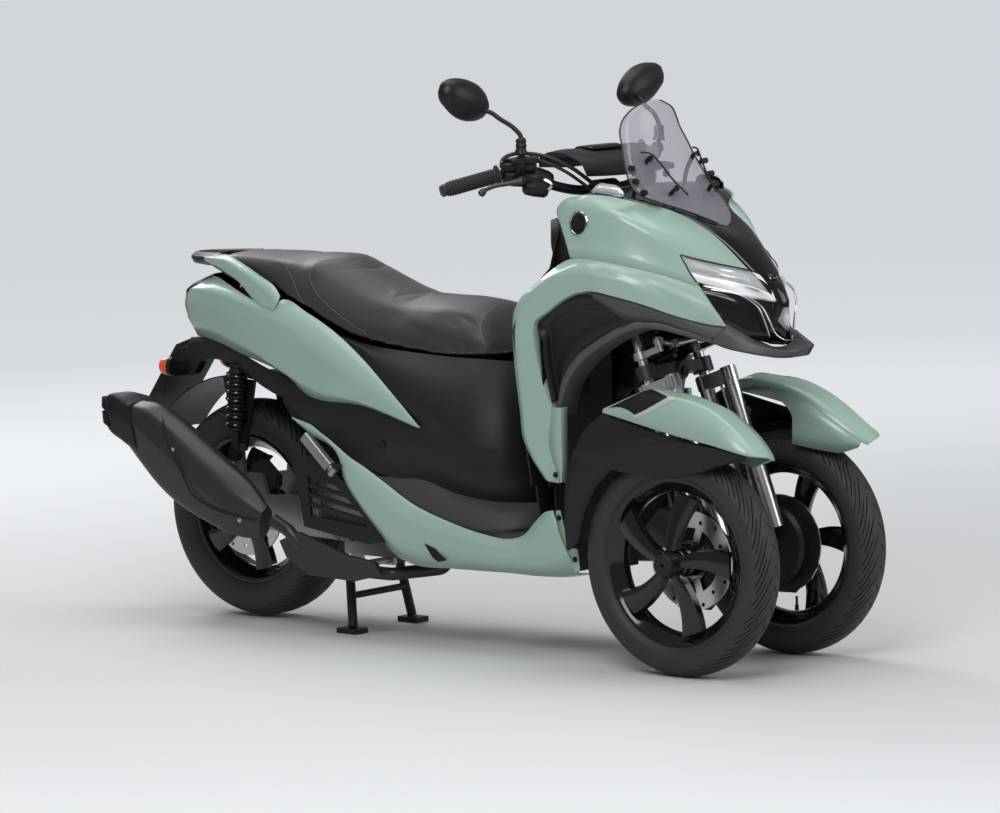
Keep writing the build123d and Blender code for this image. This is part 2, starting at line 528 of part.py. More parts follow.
cover_line = [(-46, -120), (-30, -132), (30, -110), (44, -60), (44, 60), (30, 110), (-30, 132), (-46, 120)]
cover_face = face_of([(bar_mid[0] + x, y) for x, y in cover_line])
cover = Pos(0, 0, bar_mid[2] + 24) * extrude(cover_face, 34)
cover = fillet(cover.edges().group_by(Axis.Z)[-1], 12)
save("handlebar_cover", cover)

MIRROR_Y = -309.0
mirror_base = grip_root + house_dir * 50 + Vector(0, 0, 24)
stem_line = [tuple(mirror_base - Vector(0, 0, 0)), tuple(mirror_base + Vector(0, 0, 40)),
             tuple(mirror_base + Vector(-30, -40, 105)), (282, MIRROR_Y + 30, 1238)]
mirror_arm = bent_tube(stem_line, 6, 20)
glass_plane = Plane(origin=(276, MIRROR_Y, 1252), x_dir=(0, 1, 0), z_dir=(-1, 0, 0))
glass = extrude(glass_plane * Ellipse(66, 48), 9, both=True)
glass = fillet(glass.edges().group_by(Axis.X)[-1], 12)
save("mirrors", pair_of(mirror_arm + glass))


# ---- Rear body ----------------------------------------------------------------------------
# Plan sections of the body behind the step: height, then x and y at the tail, hip, waist and front.
REAR_BODY = [
    # z,    tail x, y, hip x, y,  waist x, y,  front x, y
    (262, -815, 60, -450, 190, 0, 205, 214, 110),
    (420, -815, 80, -450, 190, 0, 205, 214, 112),
    (560, -815, 92, -450, 178, 0, 190, 214, 118),
    (700, -815, 96, -450, 168, 0, 168, 214, 118),
    (815, -815, 84, -450, 158, 0, 152, 214, 110),
]
rear_body = lofted(REAR_BODY, 0)
rear_shell = rear_body - lofted([(z + (PANEL if i == 0 else 0), *rest) for i, (z, *rest)
                                 in enumerate(REAR_BODY)], PANEL)
tail_line = [(-729, 811), (-599, 779), (-479, 747), (-269, 709), (-187, 650), (-92, 578), (-2, 505),
             (-152, 531), (-277, 557), (-351, 562), (-411, 597), (-545, 633), (-658, 657),
             (-746, 673), (-765, 662), (-793, 704), (-812, 740), (-796, 776)]
tail_cowl = rear_shell & side_slab(tail_line, -300, -20)
save("tail_cowls", pair_of(tail_cowl))
cover_side = [(-228, 694), (-23, 664), (129, 650), (205, 650), (214, 640), (214, 290),
              (170, 290), (12, 335), (-99, 388), (-164, 421), (-289, 489), (-372, 512), (-349, 558),
              (-277, 554), (-152, 528), (-2, 501), (5, 503), (-89, 579), (-184, 652), (-266, 710)]
side_cover = rear_shell & side_slab(cover_side, -300, -PANEL_GAP / 2)
under_line = [(-745, 631), (-732, 612), (-628, 601), (-506, 558), (-461, 543), (-352, 554),
              (-352, 559), (-412, 594), (-546, 630), (-659, 654), (-746, 670), (-760, 660)]
under_tail = rear_shell & side_slab(under_line, -300, -20)
save("side_covers", pair_of(side_cover) + pair_of(under_tail))

# Low body-coloured sill beside the floor.
SILL = [
    # z,   rear x, y,  waist x, y,  front x, y,  tip x, y
    (170, -400, 176, -200, 182, 300, 186, 470, 170),
    (262, -400, 198, -200, 206, 300, 210, 470, 192),
    (345, -400, 200, -200, 210, 300, 214, 470, 196),
    (512, -400, 198, -200, 206, 300, 212, 470, 196),
]
sill_shell = lofted(SILL, 0) - lofted([(z + (PANEL if i == 0 else 0), *rest) for i, (z, *rest)
                                       in enumerate(SILL)], PANEL)
sill_line = [(-384, 506), (-291, 481), (-166, 413), (-101, 380), (10, 327), (158, 282), (245, 268),
             (303, 272), (351, 313), (380, 336), (402, 340), (412, 299), (435, 256), (462, 205),
             (406, 195), (237, 188), (-39, 188), (-54, 199), (-142, 284), (-226, 361), (-213, 394),
             (-248, 422), (-328, 479)]
sill = sill_shell & side_slab(sill_line, -300, -100)
save("sills", pair_of(sill))

# Wall behind the front wheels, folded forward round the down tube.
inside = lofted(FAIRING, PANEL + RUN)
between_sills = lofted(SILL, PANEL + 1) & block((0, 480), (-250, 250), (170, 397))
wall_plan = [(398, -240), (400, -74), (442, -34), (442, 34), (400, 74), (398, 240)]
wall_ring = wall_plan + [(x - PANEL, y) for x, y in reversed(wall_plan)]
front_wall = plan_slab(wall_ring, 196, 724) & (inside + between_sills)
front_wall -= block((380, 500), (-40, 40), (560, 730))
save("front_wall", front_wall)

# Floor, and the inner leg shield that rises in front of the rider.
floor = block((160, 372), (-194, 194), (255, 259))
for index in range(5):
    floor += block((190 + 30 * index, 200 + 30 * index), (-176, 176), (258.5, 262))
save("floorboard", floor)
shield_line = [(366, 259.3), (348, 400), (330, 560), (324, 740), (352, 800), (424, 880), (436, 990),
               (433, 990), (421, 882), (349, 803), (320, 742), (326, 559), (344, 398), (362, 259.3)]
leg_shield = side_slab(shield_line, -250, 250)
leg_shield &= inside + between_sills
leg_shield -= block((330, 480), (-60, 60), (850, 1000))
save("leg_shield", leg_shield)

indicator = block((520, 586), (-191, -175), (1045 + RUN, 1062))


# ---- Engine, drive and rear suspension -----------------------------------------------------
REAR_CALIPER_TURN = 40.0
STAND_X, STAND_Z, STAND_PIN = -318.0, 150.0, 8.0
CASE_Y = (88.5, 150.0)          # belt drive case on the left
engine = block((-330, -120), (-88, 88), (180, 400)) + block((-120, 30), (-60, 60), (200, 330))
water_pump = across_rod(-134, 228, -136, -84, 36)
water_pump = chamfer(water_pump.edges().sort_by(Axis.Y)[0], 8)
engine += water_pump
# Lugs and pin under the crankcase that carry the centre stand.
for y in (-62, 50):
    engine += block((STAND_X - 16, STAND_X + 16), (y, y + 12), (STAND_Z - 12, 184))
engine += across_rod(STAND_X, STAND_Z, -104, 104, STAND_PIN)
# Nose that meets the frame's lower cross tube, and two feet for the radiator.
engine += block((28, 48 - RUN), (-40, 40), (212, 232))
for x, z in ((-260, 330), (-205, 268)):
    engine += block((x, x + 20), (RUN - 112, -87), (z, z + 18))
save("engine", engine)
case_line = [(-150, 230), (-140, 330), (-200, 360), (-420, 345), (-620, 340), (-700, 330),
             (-742, 290), (-742, 235), (-700, 195), (-620, 195), (-400, 205), (-200, 190)]
drive_case = side_slab(case_line, *CASE_Y)
drive_case = fillet(drive_case.edges().group_by(Axis.Y)[-1], 12)
lug_line = [(-668, 300), (-661, 416), (-635, 416), (-626, 300)]
drive_case += left_of(side_slab(lug_line, *ARM_Y))
drive_case -= across_rod(REAR_AXLE_X, REAR_AXLE_Z, 80, 130, AXLE_RADIUS + 0.05)
drive_case -= across_rod(*SHOCK_LOW, 80, 120, SHOCK_PIN + 0.05)
save("drive_case", drive_case)
arm_line = [(-300, 210), (-300, 300), (-420, 310), (-640, 300), (-690, 285), (-690, 235), (-640, 225)]
swing_arm = side_slab(arm_line, *ARM_Y) + side_slab(lug_line, *ARM_Y)
swing_arm += side_slab([(-640, 280), (-550, 280), (-576, 352), (-622, 352)], *ARM_Y)
swing_arm += across_rod(-598, 334, ARM_Y[1] - 1, -74 - RUN, 12)
swing_arm += across_rod(REAR_AXLE_X, REAR_AXLE_Z, -110, 120, AXLE_RADIUS)
swing_arm -= across_rod(*SHOCK_LOW, -120, -80, SHOCK_PIN + 0.05)
save("swing_arm", swing_arm)
rear_caliper = Rot(0, REAR_CALIPER_TURN, 0) * brake_caliper(-18, 8)
save("rear_caliper", Pos(REAR_AXLE_X, -REAR_HUB_HALF - DISC_THICK, REAR_AXLE_Z) * rear_caliper)

SHOCK_Y = -108.5
COILS = 7
SPRING_FROM, SPRING_TO = 66.0, 208.0
pitch = (SPRING_TO - SPRING_FROM) / COILS
shock_profile = [(0, 12), (9, 12), (9, 60), (19, 60), (19, SPRING_FROM)]
for index in range(COILS):
    base = SPRING_FROM + pitch * index
    shock_profile += [(14, base), (19, base + 0.3 * pitch), (19, base + 0.7 * pitch)]
shock_profile += [(14, SPRING_TO), (19, SPRING_TO + 1), (19, SPRING_TO + 8), (12, SPRING_TO + 10),
                  (12, 222), (8, 222), (8, 237), (0, 237)]
eye_low = Vector(SHOCK_LOW[0], SHOCK_Y, SHOCK_LOW[1])
eye_high = Vector(SHOCK_HIGH[0], SHOCK_Y, SHOCK_HIGH[1])
shock_plane = Plane(origin=eye_low, x_dir=(0, 1, 0), z_dir=eye_high - eye_low)
shock = shock_plane * revolve(Plane.XZ * face_of(shock_profile), Axis.Z)
for x, z in (SHOCK_LOW, SHOCK_HIGH):
    shock += across_rod(x, z, SHOCK_Y - 9.5, SHOCK_Y + 9.5, 15)
    shock += across_rod(x, z, SHOCK_Y, ARM_Y[1] + 2, SHOCK_PIN)
save("rear_shocks", pair_of(shock))

# Muffler: sections square to its rising axis, as distance along it, width, height and corner.
MUFFLER_RISE = 25.0
MUFFLER_START = (-452.0, -196.0, 262.0)
MUFFLER = [(0, 58, 64, 24), (70, 92, 116, 34), (260, 104, 148, 40), (500, 96, 122, 30), (540, 84, 100, 24)]
muffler_dir = Vector(-cos(radians(MUFFLER_RISE)), 0, sin(radians(MUFFLER_RISE)))
muffler_faces = []
for along, width, height, corner in MUFFLER:
    spot = Vector(*MUFFLER_START) + muffler_dir * along
    plane = Plane(origin=spot, x_dir=(0, 1, 0), z_dir=muffler_dir)
    muffler_faces.append(plane * RectangleRounded(width, height, corner))
muffler = loft(muffler_faces, ruled=True)
tail_spot = Vector(*MUFFLER_START) + muffler_dir * MUFFLER[-1][0]
muffler -= rod(tail_spot - muffler_dir * 60, tail_spot + muffler_dir * 5, 18)
save("muffler", muffler)
lead_in = Vector(*MUFFLER_START) - muffler_dir * 50
pipe = bent_tube([(-60, -40, 199.7), (-60, -40, 160), (-150, -130, 150), (-330, -178, 160),
                  tuple(lead_in), MUFFLER_START], 15, 22)
guard_plate = side_slab([(-430, 216), (-373, 240), (-221, 196), (-140, 186), (-120, 158), (-201, 138),
                         (-339, 142), (-410, 180)], -202, -190)
save("exhaust_pipe", pipe + guard_plate)

# Radiator on the right of the engine, behind its slatted cover.
radiator = block((-350, -180), (-150, -112), (250, 364))
grille_line = [(-398, 398), (-330, 420), (-292, 400), (-150, 300), (-112, 294), (-124, 232), (-172, 224),
               (-366, 252), (-386, 350)]
window = [(-352, 372), (-288, 368), (-180, 284), (-170, 262), (-346, 278)]
grille = side_slab(grille_line, -186, -176) - side_slab(window, -190, -170)
for index in range(4):
    z = 286 + 22 * index
    slat = side_slab([(-372, z + 18), (-160, z - 16), (-160, z - 8), (-372, z + 26)], -185, -176)
    grille += slat & side_slab(grille_line, -190, -170)
for x in (-345, -202):
    grille += block((x, x + 14), (-177, -150 - RUN), (252, 260))
save("radiator_cover", grille)
save("radiator", radiator)

# ---- Rear mudguards, lamp and rail ----------------------------------------------------------
ARCH_RADIUS = REAR_TYRE_RADIUS + 62
hugger = across_rod(REAR_AXLE_X, REAR_AXLE_Z, -82, 82, ARCH_RADIUS, ARCH_RADIUS - PANEL)
hugger &= side_slab([(-662, 400), (-400, 480), (-440, 700), (-900, 700), (-990, 440)], -90, 90)
stay = side_slab([(-700, 573), (-600, 568), (-634, 401), (-662, 401)], ARM_Y[1] + RUN, -80)
hugger += stay + left_of(stay)
save("rear_inner_mudguard", hugger)
plate_line = [(-736, 690 - RUN), (-740, 646), (-800, 660), (-858, 640), (-975, 480), (-997.5, 440),
              (-990, 436), (-966, 474), (-850, 630), (-800, 648), (-732, 630), (-728, 640),
              (-728, 690 - RUN)]
plate_guard = side_slab(plate_line, -78, 78)
for y in (-40, 40):
    plate_guard -= rod((-1000, y, 520), (-850, y, 520), 3)
save("rear_mudguard", plate_guard)
rear_lamp = across_rod(-881, 596, -96, -78 - RUN, 6)
rear_lamp += rod((-890, -104, 596), (-852, -104, 596), 20)
save("indicators", pair_of(indicator) + pair_of(rear_lamp))
lamp_box = plan_slab([(-812, -60), (-700, -92), (-700, 92), (-812, 60)], 690, 770)
save("tail_lamp", lamp_box)

rail_plan = [(-440, 174), (-580, 154), (-690, 124), (-800, 80), (-814, 40)]
rail_inside = [(-440, 146), (-575, 126), (-680, 98), (-775, 56), (-780, 30)]
rail_ring = [(x, -y) for x, y in rail_plan] + [(x, y) for x, y in reversed(rail_plan)]
rail_hole = [(x, -y) for x, y in rail_inside] + [(x, y) for x, y in reversed(rail_inside)]
grab = plan_slab(rail_ring, 700, 900) - plan_slab([(x + 1, y) for x, y in rail_hole[:1]] + rail_hole[1:-1]
                                                 + [(x + 1, y) for x, y in rail_hole[-1:]], 690, 910)
rail_side = [(-816, 846), (-790, 857), (-682, 862), (-589, 834), (-461, 783), (-440, 768), (-440, 750),
             (-472, 748), (-554, 768), (-583, 793), (-663, 828), (-734, 838), (-745, 816), (-816, 816)]
grab &= side_slab(rail_side, -200, 200)
save("grab_rail", grab)


# ---- Saddle and the box under it ------------------------------------------------------------
BOX_X, BOX_HALF, BOX_Z = (-390.0, 130.0), 116.0, (464.3, 655.0)
HINGE_X, HINGE_Z, HINGE_PIN = 150.0, 652.0, 4.0
box = block(BOX_X, (-BOX_HALF, BOX_HALF), BOX_Z)
box -= block((BOX_X[0] + PANEL, BOX_X[1] - PANEL), (PANEL - BOX_HALF, BOX_HALF - PANEL),
             (BOX_Z[0] + PANEL, BOX_Z[1] + 1))
for y in (-40, 32):
    box += side_slab([(BOX_X[1] - 1, 620), (HINGE_X + 8, 644), (HINGE_X + 8, HINGE_Z + 7),
                      (HINGE_X - 8, HINGE_Z + 7), (BOX_X[1] - 1, 640)], y, y + 8)
box += across_rod(HINGE_X, HINGE_Z, -36, 36, HINGE_PIN)
save("underseat_box", box)
# Saddle sections, tail to nose: x, width, lowest and highest z, corner radius.
SADDLE = [
    (-748, 90, 832, 862, 12), (-600, 196, 792, 866, 26), (-430, 270, 752, 874, 34),
    (-300, 296, 722, 856, 34), (-190, 300, 704, 808, 32), (-60, 286, 690, 784, 30),
    (60, 240, 678, 781, 28), (135, 190, 672, 752, 26), (174, 120, 670, 704, 14),
]
saddle_faces = []
for x, width, low, high, corner in SADDLE:
    plane = Plane(origin=(x, 0, (low + high) / 2), x_dir=(0, 1, 0), z_dir=(1, 0, 0))
    saddle_faces.append(plane * RectangleRounded(width, high - low, corner))
saddle = loft(saddle_faces, ruled=True)
save("saddle", saddle)
# Hard pan under the cushion: it closes the box and carries the hinge eye at its front.
pan_top = [(x, low - RUN) for x, width, low, high, corner in SADDLE[1:-1]]
pan_low = [(BOX_X[1] + 5, BOX_Z[1] + RUN), (BOX_X[0] - 5, BOX_Z[1] + RUN)]
pan_line = pan_top + pan_low + [(-470, 720), (-600, 780)]
pan_hollow = [(x, z - 4) for x, z in pan_top[1:]] + [(BOX_X[1], 600), (BOX_X[0], 600), (-430, 720)]
pan = side_slab(pan_line, -100, 100) - side_slab(pan_hollow, -96, 96)
pan += side_slab([(BOX_X[1] - 4, 660), (HINGE_X, HINGE_Z - 8), (HINGE_X + 8, HINGE_Z), (BOX_X[1] + 5, 670)],
                 -30, 30)
pan += across_rod(HINGE_X, HINGE_Z, -30, 30, 8)
pan -= across_rod(HINGE_X, HINGE_Z, -31, 31, HINGE_PIN + RUN)
save("saddle_pan", pan)


# ---- Stands and pillion pegs ----------------------------------------------------------------
leg = rod((STAND_X, -86, STAND_Z), (STAND_X + 22, -104, 14), 11)
leg += block((STAND_X - 8, STAND_X + 52), (-128, -86), (0, 12))
leg += across_rod(STAND_X, STAND_Z, -98, -64, 15)
centre_stand = leg + left_of(leg) + across_rod(STAND_X + 12, 84, -94, 94, 8)
centre_stand -= across_rod(STAND_X, STAND_Z, -120, 120, STAND_PIN + RUN)
save("centre_stand", centre_stand)
side_stand = rod((SIDE_X, SIDE_Y, SIDE_Z), (SIDE_X - SIDE_LEN, SIDE_Y + 6, SIDE_Z - 8), 9)
side_stand += rod((SIDE_X, SIDE_Y - 9, SIDE_Z), (SIDE_X, SIDE_Y + 9, SIDE_Z), 16)
side_stand += block((SIDE_X - SIDE_LEN - 4, SIDE_X - SIDE_LEN + 4), (SIDE_Y - 34, SIDE_Y + 10),
                    (SIDE_Z - 30, SIDE_Z + 6))
side_stand -= rod((SIDE_X, SIDE_Y - 12, SIDE_Z), (SIDE_X, SIDE_Y + 12, SIDE_Z), 6 + RUN)
save("side_stand", side_stand)
# Pillion pegs, folded back along the sills; each swings out about the pin at its front end.
peg_plane = Plane(origin=peg_root + peg_dir * 12, x_dir=(0, 1, 0), z_dir=peg_dir)
peg = extrude(peg_plane * RectangleRounded(20, 26, 5), 100)
peg += rod(peg_root - peg_pin * 11, peg_root + peg_pin * 11, 9)
peg += rod(peg_root, peg_root + peg_dir * 14, 8)
peg -= rod(peg_root - peg_pin * 30, peg_root + peg_pin * 30, 5 + RUN)
save("pillion_peg_right", peg)
save("pillion_peg_left", left_of(peg))
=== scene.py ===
import json

import bmesh
import bpy
import numpy as np
from mathutils import Matrix, Vector
from mathutils.bvhtree import BVHTree


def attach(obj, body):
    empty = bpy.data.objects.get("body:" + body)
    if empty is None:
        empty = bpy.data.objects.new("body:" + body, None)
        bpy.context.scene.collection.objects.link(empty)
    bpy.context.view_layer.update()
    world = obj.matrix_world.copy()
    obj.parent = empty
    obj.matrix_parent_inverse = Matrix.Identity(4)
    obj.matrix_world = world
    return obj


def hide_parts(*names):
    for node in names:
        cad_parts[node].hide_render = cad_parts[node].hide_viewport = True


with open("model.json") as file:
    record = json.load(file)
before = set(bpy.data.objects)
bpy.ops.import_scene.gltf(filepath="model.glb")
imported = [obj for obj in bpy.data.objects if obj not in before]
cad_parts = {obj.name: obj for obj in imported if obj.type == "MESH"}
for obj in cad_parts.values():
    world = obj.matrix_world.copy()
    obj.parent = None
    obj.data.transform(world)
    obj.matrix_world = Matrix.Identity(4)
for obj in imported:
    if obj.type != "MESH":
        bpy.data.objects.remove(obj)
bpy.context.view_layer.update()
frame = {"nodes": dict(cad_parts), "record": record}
node = frame["nodes"]

# Camera, studio light and floor: a long lens from the front right, four large soft lamps and a
# pale floor that runs out to the horizon on every side.
CAMERA_AT = (8.2567, -9.6825, 1.929)
CAMERA_TURN = np.radians(40.199)
CAMERA_TILT = np.radians(6.276)
CAMERA_ROLL = np.radians(-1.268)
CAMERA_LENS = 202.24
SENSOR_WIDTH = 36.0


def camera_axes(turn, tilt, roll):
    """Right, up and back vectors of a camera turned about Z, tilted down, then rolled."""
    back = np.array([np.sin(turn) * np.cos(tilt), -np.cos(turn) * np.cos(tilt), np.sin(tilt)])
    level = np.array([np.cos(turn), np.sin(turn), 0.0])
    upright = np.cross(back, level)
    right = np.cos(roll) * level + np.sin(roll) * upright
    return right, np.cross(back, right), back


camera = bpy.data.objects.new("camera", bpy.data.cameras.new("camera"))
camera.data.sensor_width = SENSOR_WIDTH
camera.data.lens = CAMERA_LENS
camera.data.clip_end = 400
camera_basis = np.eye(4)
camera_basis[:3, :3] = np.array(camera_axes(CAMERA_TURN, CAMERA_TILT, CAMERA_ROLL)).T
camera_basis[:3, 3] = CAMERA_AT
camera.matrix_world = Matrix(camera_basis.tolist())
bpy.context.scene.collection.objects.link(camera)
bpy.context.scene.camera = camera
bpy.context.scene.view_settings.view_transform = "Standard"

LAMP_AIM = Vector((0, 0, 0.5))
# name, place, size, power in watts
LAMPS = (
    ("key", (2.2, -3.4, 3.6), 2.6, 120),
    ("fill", (4.2, 1.6, 2.2), 3.0, 60),
    ("back", (-3.6, 1.4, 3.4), 2.6, 90),
    ("over", (0.0, 0.0, 4.2), 3.4, 70),
)
for label, place, width, power in LAMPS:
    lamp = bpy.data.objects.new(label, bpy.data.lights.new(label, "AREA"))
    lamp.data.shape = "DISK"
    lamp.data.size = width
    lamp.data.energy = power
    lamp.rotation_euler = (Vector(place) - LAMP_AIM).to_track_quat("Z", "Y").to_euler()
    lamp.location = place
    bpy.context.scene.collection.objects.link(lamp)


def set_inputs(tree, made, inputs):
    """Sets a node's inputs by name or number. A value that is another node's output is linked in."""
    for slot, value in inputs.items():
        if isinstance(value, bpy.types.NodeSocket):
            tree.links.new(value, made.inputs[slot])
        else:
            made.inputs[slot].default_value = value


def shader_node(tree, kind, inputs, operation=None):
    """New node of a kind with its inputs set."""
    made = tree.nodes.new(f"ShaderNode{kind}")
    if operation:
        made.operation = operation
    set_inputs(tree, made, inputs)
    return made


# The backdrop that the camera sees is paler than the surroundings that light the machine.
world = bpy.data.worlds.new("studio")
world.use_nodes = True
world_tree = world.node_tree
surroundings = world_tree.nodes["Background"]
set_inputs(world_tree, surroundings, {"Color": (0.80, 0.83, 0.86, 1), "Strength": 0.30})
backdrop = shader_node(world_tree, "Background", {"Color": (0.78, 0.80, 0.82, 1)})
ray = shader_node(world_tree, "LightPath", {})
seen = shader_node(world_tree, "Math", {0: ray.outputs["Is Camera Ray"],
                                        1: ray.outputs["Is Transmission Ray"]}, "MAXIMUM")
either = shader_node(world_tree, "MixShader", {"Fac": seen.outputs["Value"],
                                               1: surroundings.outputs["Background"],
                                               2: backdrop.outputs["Background"]})
set_inputs(world_tree, world_tree.nodes["World Output"], {"Surface": either.outputs["Shader"]})
bpy.context.scene.world = world

FLOOR_HALF = 150.0
FLOOR_LEVEL = -0.0005
floor_mesh = bpy.data.meshes.new("floor")
floor_corners = [(-1, -1), (1, -1), (1, 1), (-1, 1)]
floor_mesh.from_pydata([(x * FLOOR_HALF, y * FLOOR_HALF, FLOOR_LEVEL) for x, y in floor_corners],
                       [], [(0, 1, 2, 3)])
floor = bpy.data.objects.new("floor", floor_mesh)
bpy.context.scene.collection.objects.link(floor)


# Finishes. Each is a principled shader whose colour drifts a little over the piece, with a fine
# grain as bump and a roughness that wanders, all on Object coordinates.
WANDER = 0.12


def finish(name, colour, roughness, metal=0.0, coat=0.0, grain=260.0, depth=0.0002, drift=0.10,
           drift_scale=7.0, alpha=1.0, sheen=0.0, ior=1.5, slot=None):
    """Colour = base x (1 +- drift x slow noise); roughness = base x (1 +- WANDER x slow noise);
    height = depth in metres x fine noise."""
    material = bpy.data.materials.new(name)
    material.use_nodes = True
    material["slot"] = slot or name
    tree = material.node_tree
    spot = shader_node(tree, "TexCoord", {}).outputs["Object"]
    slow = shader_node(tree, "TexNoise", {"Vector": spot, "Scale": drift_scale, "Detail": 4})
    span = {"Value": slow.outputs["Fac"], "From Min": 0.3, "From Max": 0.7}
    tint = shader_node(tree, "MapRange", {**span, "To Min": 1 - drift, "To Max": 1 + drift})
    shade = shader_node(tree, "VectorMath", {0: colour, "Scale": tint.outputs["Result"]}, "SCALE")
    rub = shader_node(tree, "MapRange", {**span, "To Min": roughness * (1 - WANDER),
                                         "To Max": min(roughness * (1 + WANDER), 1.0)})
    fine = shader_node(tree, "TexNoise", {"Vector": spot, "Scale": grain, "Detail": 3})
    bump = shader_node(tree, "Bump", {"Height": fine.outputs["Fac"], "Strength": 1.0, "Distance": depth})
    set_inputs(tree, tree.nodes["Principled BSDF"], {
        "Base Color": shade.outputs["Vector"], "Roughness": rub.outputs["Result"],
        "Normal": bump.outputs["Normal"], "Metallic": metal, "Coat Weight": coat, "Coat Roughness": 0.05,
        "Alpha": alpha, "Sheen Weight": sheen, "IOR": ior})
    return material


mint_paint = finish("mint_paint", (0.300, 0.430, 0.370), 0.36, coat=0.4, depth=0.00001, drift=0.02,
                    grain=900)
gloss_black = finish("gloss_black", (0.006, 0.006, 0.007), 0.12, ior=1.40, coat=0.25, depth=0.00001,
                     drift=0.1)
satin_black = finish("satin_black", (0.010, 0.010, 0.011), 0.42, ior=1.36, depth=0.00006, grain=900)
grained_plastic = finish("grained_plastic", (0.011, 0.011, 0.013), 0.52, ior=1.36, depth=0.00016, grain=700,
                         slot="satin_black")
tread_rubber = finish("tread_rubber", (0.022, 0.022, 0.023), 0.62, depth=0.00012, grain=500, drift=0.2)
grip_rubber = finish("grip_rubber", (0.018, 0.018, 0.019), 0.68, depth=0.00012, grain=600)
bare_steel = finish("bare_steel", (0.56, 0.56, 0.57), 0.28, metal=1.0, depth=0.00002, grain=1200, drift=0.08)
chromed = finish("chromed", (0.80, 0.80, 0.81), 0.07, metal=1.0, depth=0.000004, drift=0.03,
                 slot="bare_steel")
cast_alloy = finish("cast_alloy", (0.36, 0.36, 0.37), 0.46, metal=1.0, depth=0.00025, grain=420, drift=0.15)
dark_alloy = finish("dark_alloy", (0.045, 0.045, 0.048), 0.40, metal=0.6, depth=0.0001, grain=600)
smoked_screen = finish("smoked_screen", (0.05, 0.05, 0.06), 0.03, alpha=0.55, depth=0.0, drift=0.02)
clear_lens = finish("clear_lens", (0.9, 0.92, 0.94), 0.02, alpha=0.25, depth=0.0, drift=0.01)
amber_lens = finish("amber_lens", (0.80, 0.09, 0.01), 0.12, coat=0.5, depth=0.00005, drift=0.04)
saddle_cover = finish("saddle_cover", (0.027, 0.024, 0.028), 0.46, depth=0.0003, grain=900, sheen=0.1)
pale_floor = finish("pale_floor", (0.62, 0.63, 0.64), 0.75, depth=0.0, drift=0.01, drift_scale=0.3)
floor.data.materials.append(pale_floor)

# The floor grows paler away from the machine, where the lamps no longer reach it.
FLOOR_NEAR, FLOOR_FAR = 0.9, 6.0
floor_tree = pale_floor.node_tree
floor_spot = shader_node(floor_tree, "TexCoord", {})
floor_reach = shader_node(floor_tree, "VectorMath", {0: floor_spot.outputs["Object"]}, "LENGTH")
floor_glow = shader_node(floor_tree, "MapRange",
                         {"Value": floor_reach.outputs["Value"], "From Min": FLOOR_NEAR,
                          "From Max": FLOOR_FAR, "To Max": 0.52})
floor_glow.interpolation_type = "SMOOTHSTEP"
floor_ray = shader_node(floor_tree, "LightPath", {})
floor_seen = shader_node(floor_tree, "Math", {0: floor_glow.outputs["Result"],
                                              1: floor_ray.outputs["Is Camera Ray"]}, "MULTIPLY")
set_inputs(floor_tree, floor_tree.nodes["Principled BSDF"], {
    "Emission Color": (0.93, 0.96, 1.0, 1), "Emission Strength": floor_seen.outputs["Value"]})

slot_finish = {
    "mint_paint": mint_paint, "gloss_black": gloss_black, "satin_black": satin_black,
    "tyre_rubber": tread_rubber, "grip_rubber": grip_rubber, "bare_steel": bare_steel,
    "chromed": chromed, "cast_alloy": cast_alloy, "dark_alloy": dark_alloy,
    "smoked_screen": smoked_screen, "clear_lens": clear_lens, "amber_lens": amber_lens,
    "saddle_cover": saddle_cover,
}
slot_of = {row["node"]: row["material_slot"] for row in frame["record"]["subparts"]}
for name, piece in node.items():
    piece.data.materials.clear()
    piece.data.materials.append(slot_finish[slot_of[name]])


# Tyres: black rubber, round in section, with long curved grooves that sweep from the middle of
# the tread to the shoulders. The grooves are cut in the mesh; fine moulding lines ring the wall.
def smooth_mesh(name, points, faces, material, sharp_angle=None):
    """Mesh object from an (n, 3) array of points in metres and an (m, 3 or 4) array of faces."""
    mesh = bpy.data.meshes.new(name)
    mesh.from_pydata(points.tolist(), [], faces.tolist())
    mesh.materials.append(material)
    mesh.polygons.foreach_set("use_smooth", np.ones(len(mesh.polygons), bool))
    if sharp_angle is not None:
        mesh.set_sharp_from_angle(angle=np.radians(sharp_angle))
    mesh.update()
    piece = bpy.data.objects.new(name, mesh)
    bpy.context.scene.collection.objects.link(piece)
    return piece


def grid_faces(rows, columns, wrap_rows=False, wrap_columns=False):
    """Quads of a rows x columns grid of points stored row by row, joined round where asked."""
    row = np.arange(rows if wrap_rows else rows - 1)[:, None]
    column = np.arange(columns if wrap_columns else columns - 1)[None, :]
    next_row, next_column = (row + 1) % rows, (column + 1) % columns
    corners = (row * columns + column, row * columns + next_column,
               next_row * columns + next_column, next_row * columns + column)
    return np.stack([corner.ravel() for corner in corners], axis=1)


def ring_about_y(radius, across, turns):
    """Points of a surface of revolution about Y: radius and across hold one profile per turn."""
    return np.stack([radius * np.cos(turns), across + 0 * turns, radius * np.sin(turns)], axis=-1)


TYRE_STEPS = 900
TYRE_PROFILE_STEPS = 76
GROOVE_WIDTH = 0.0042
GROOVE_DEPTH = 0.0034
GROOVE_SWEEP = -0.42
RIB_HEIGHT, RIB_PITCH = 0.0006, 0.0062
SECTION_POWER = 2.3


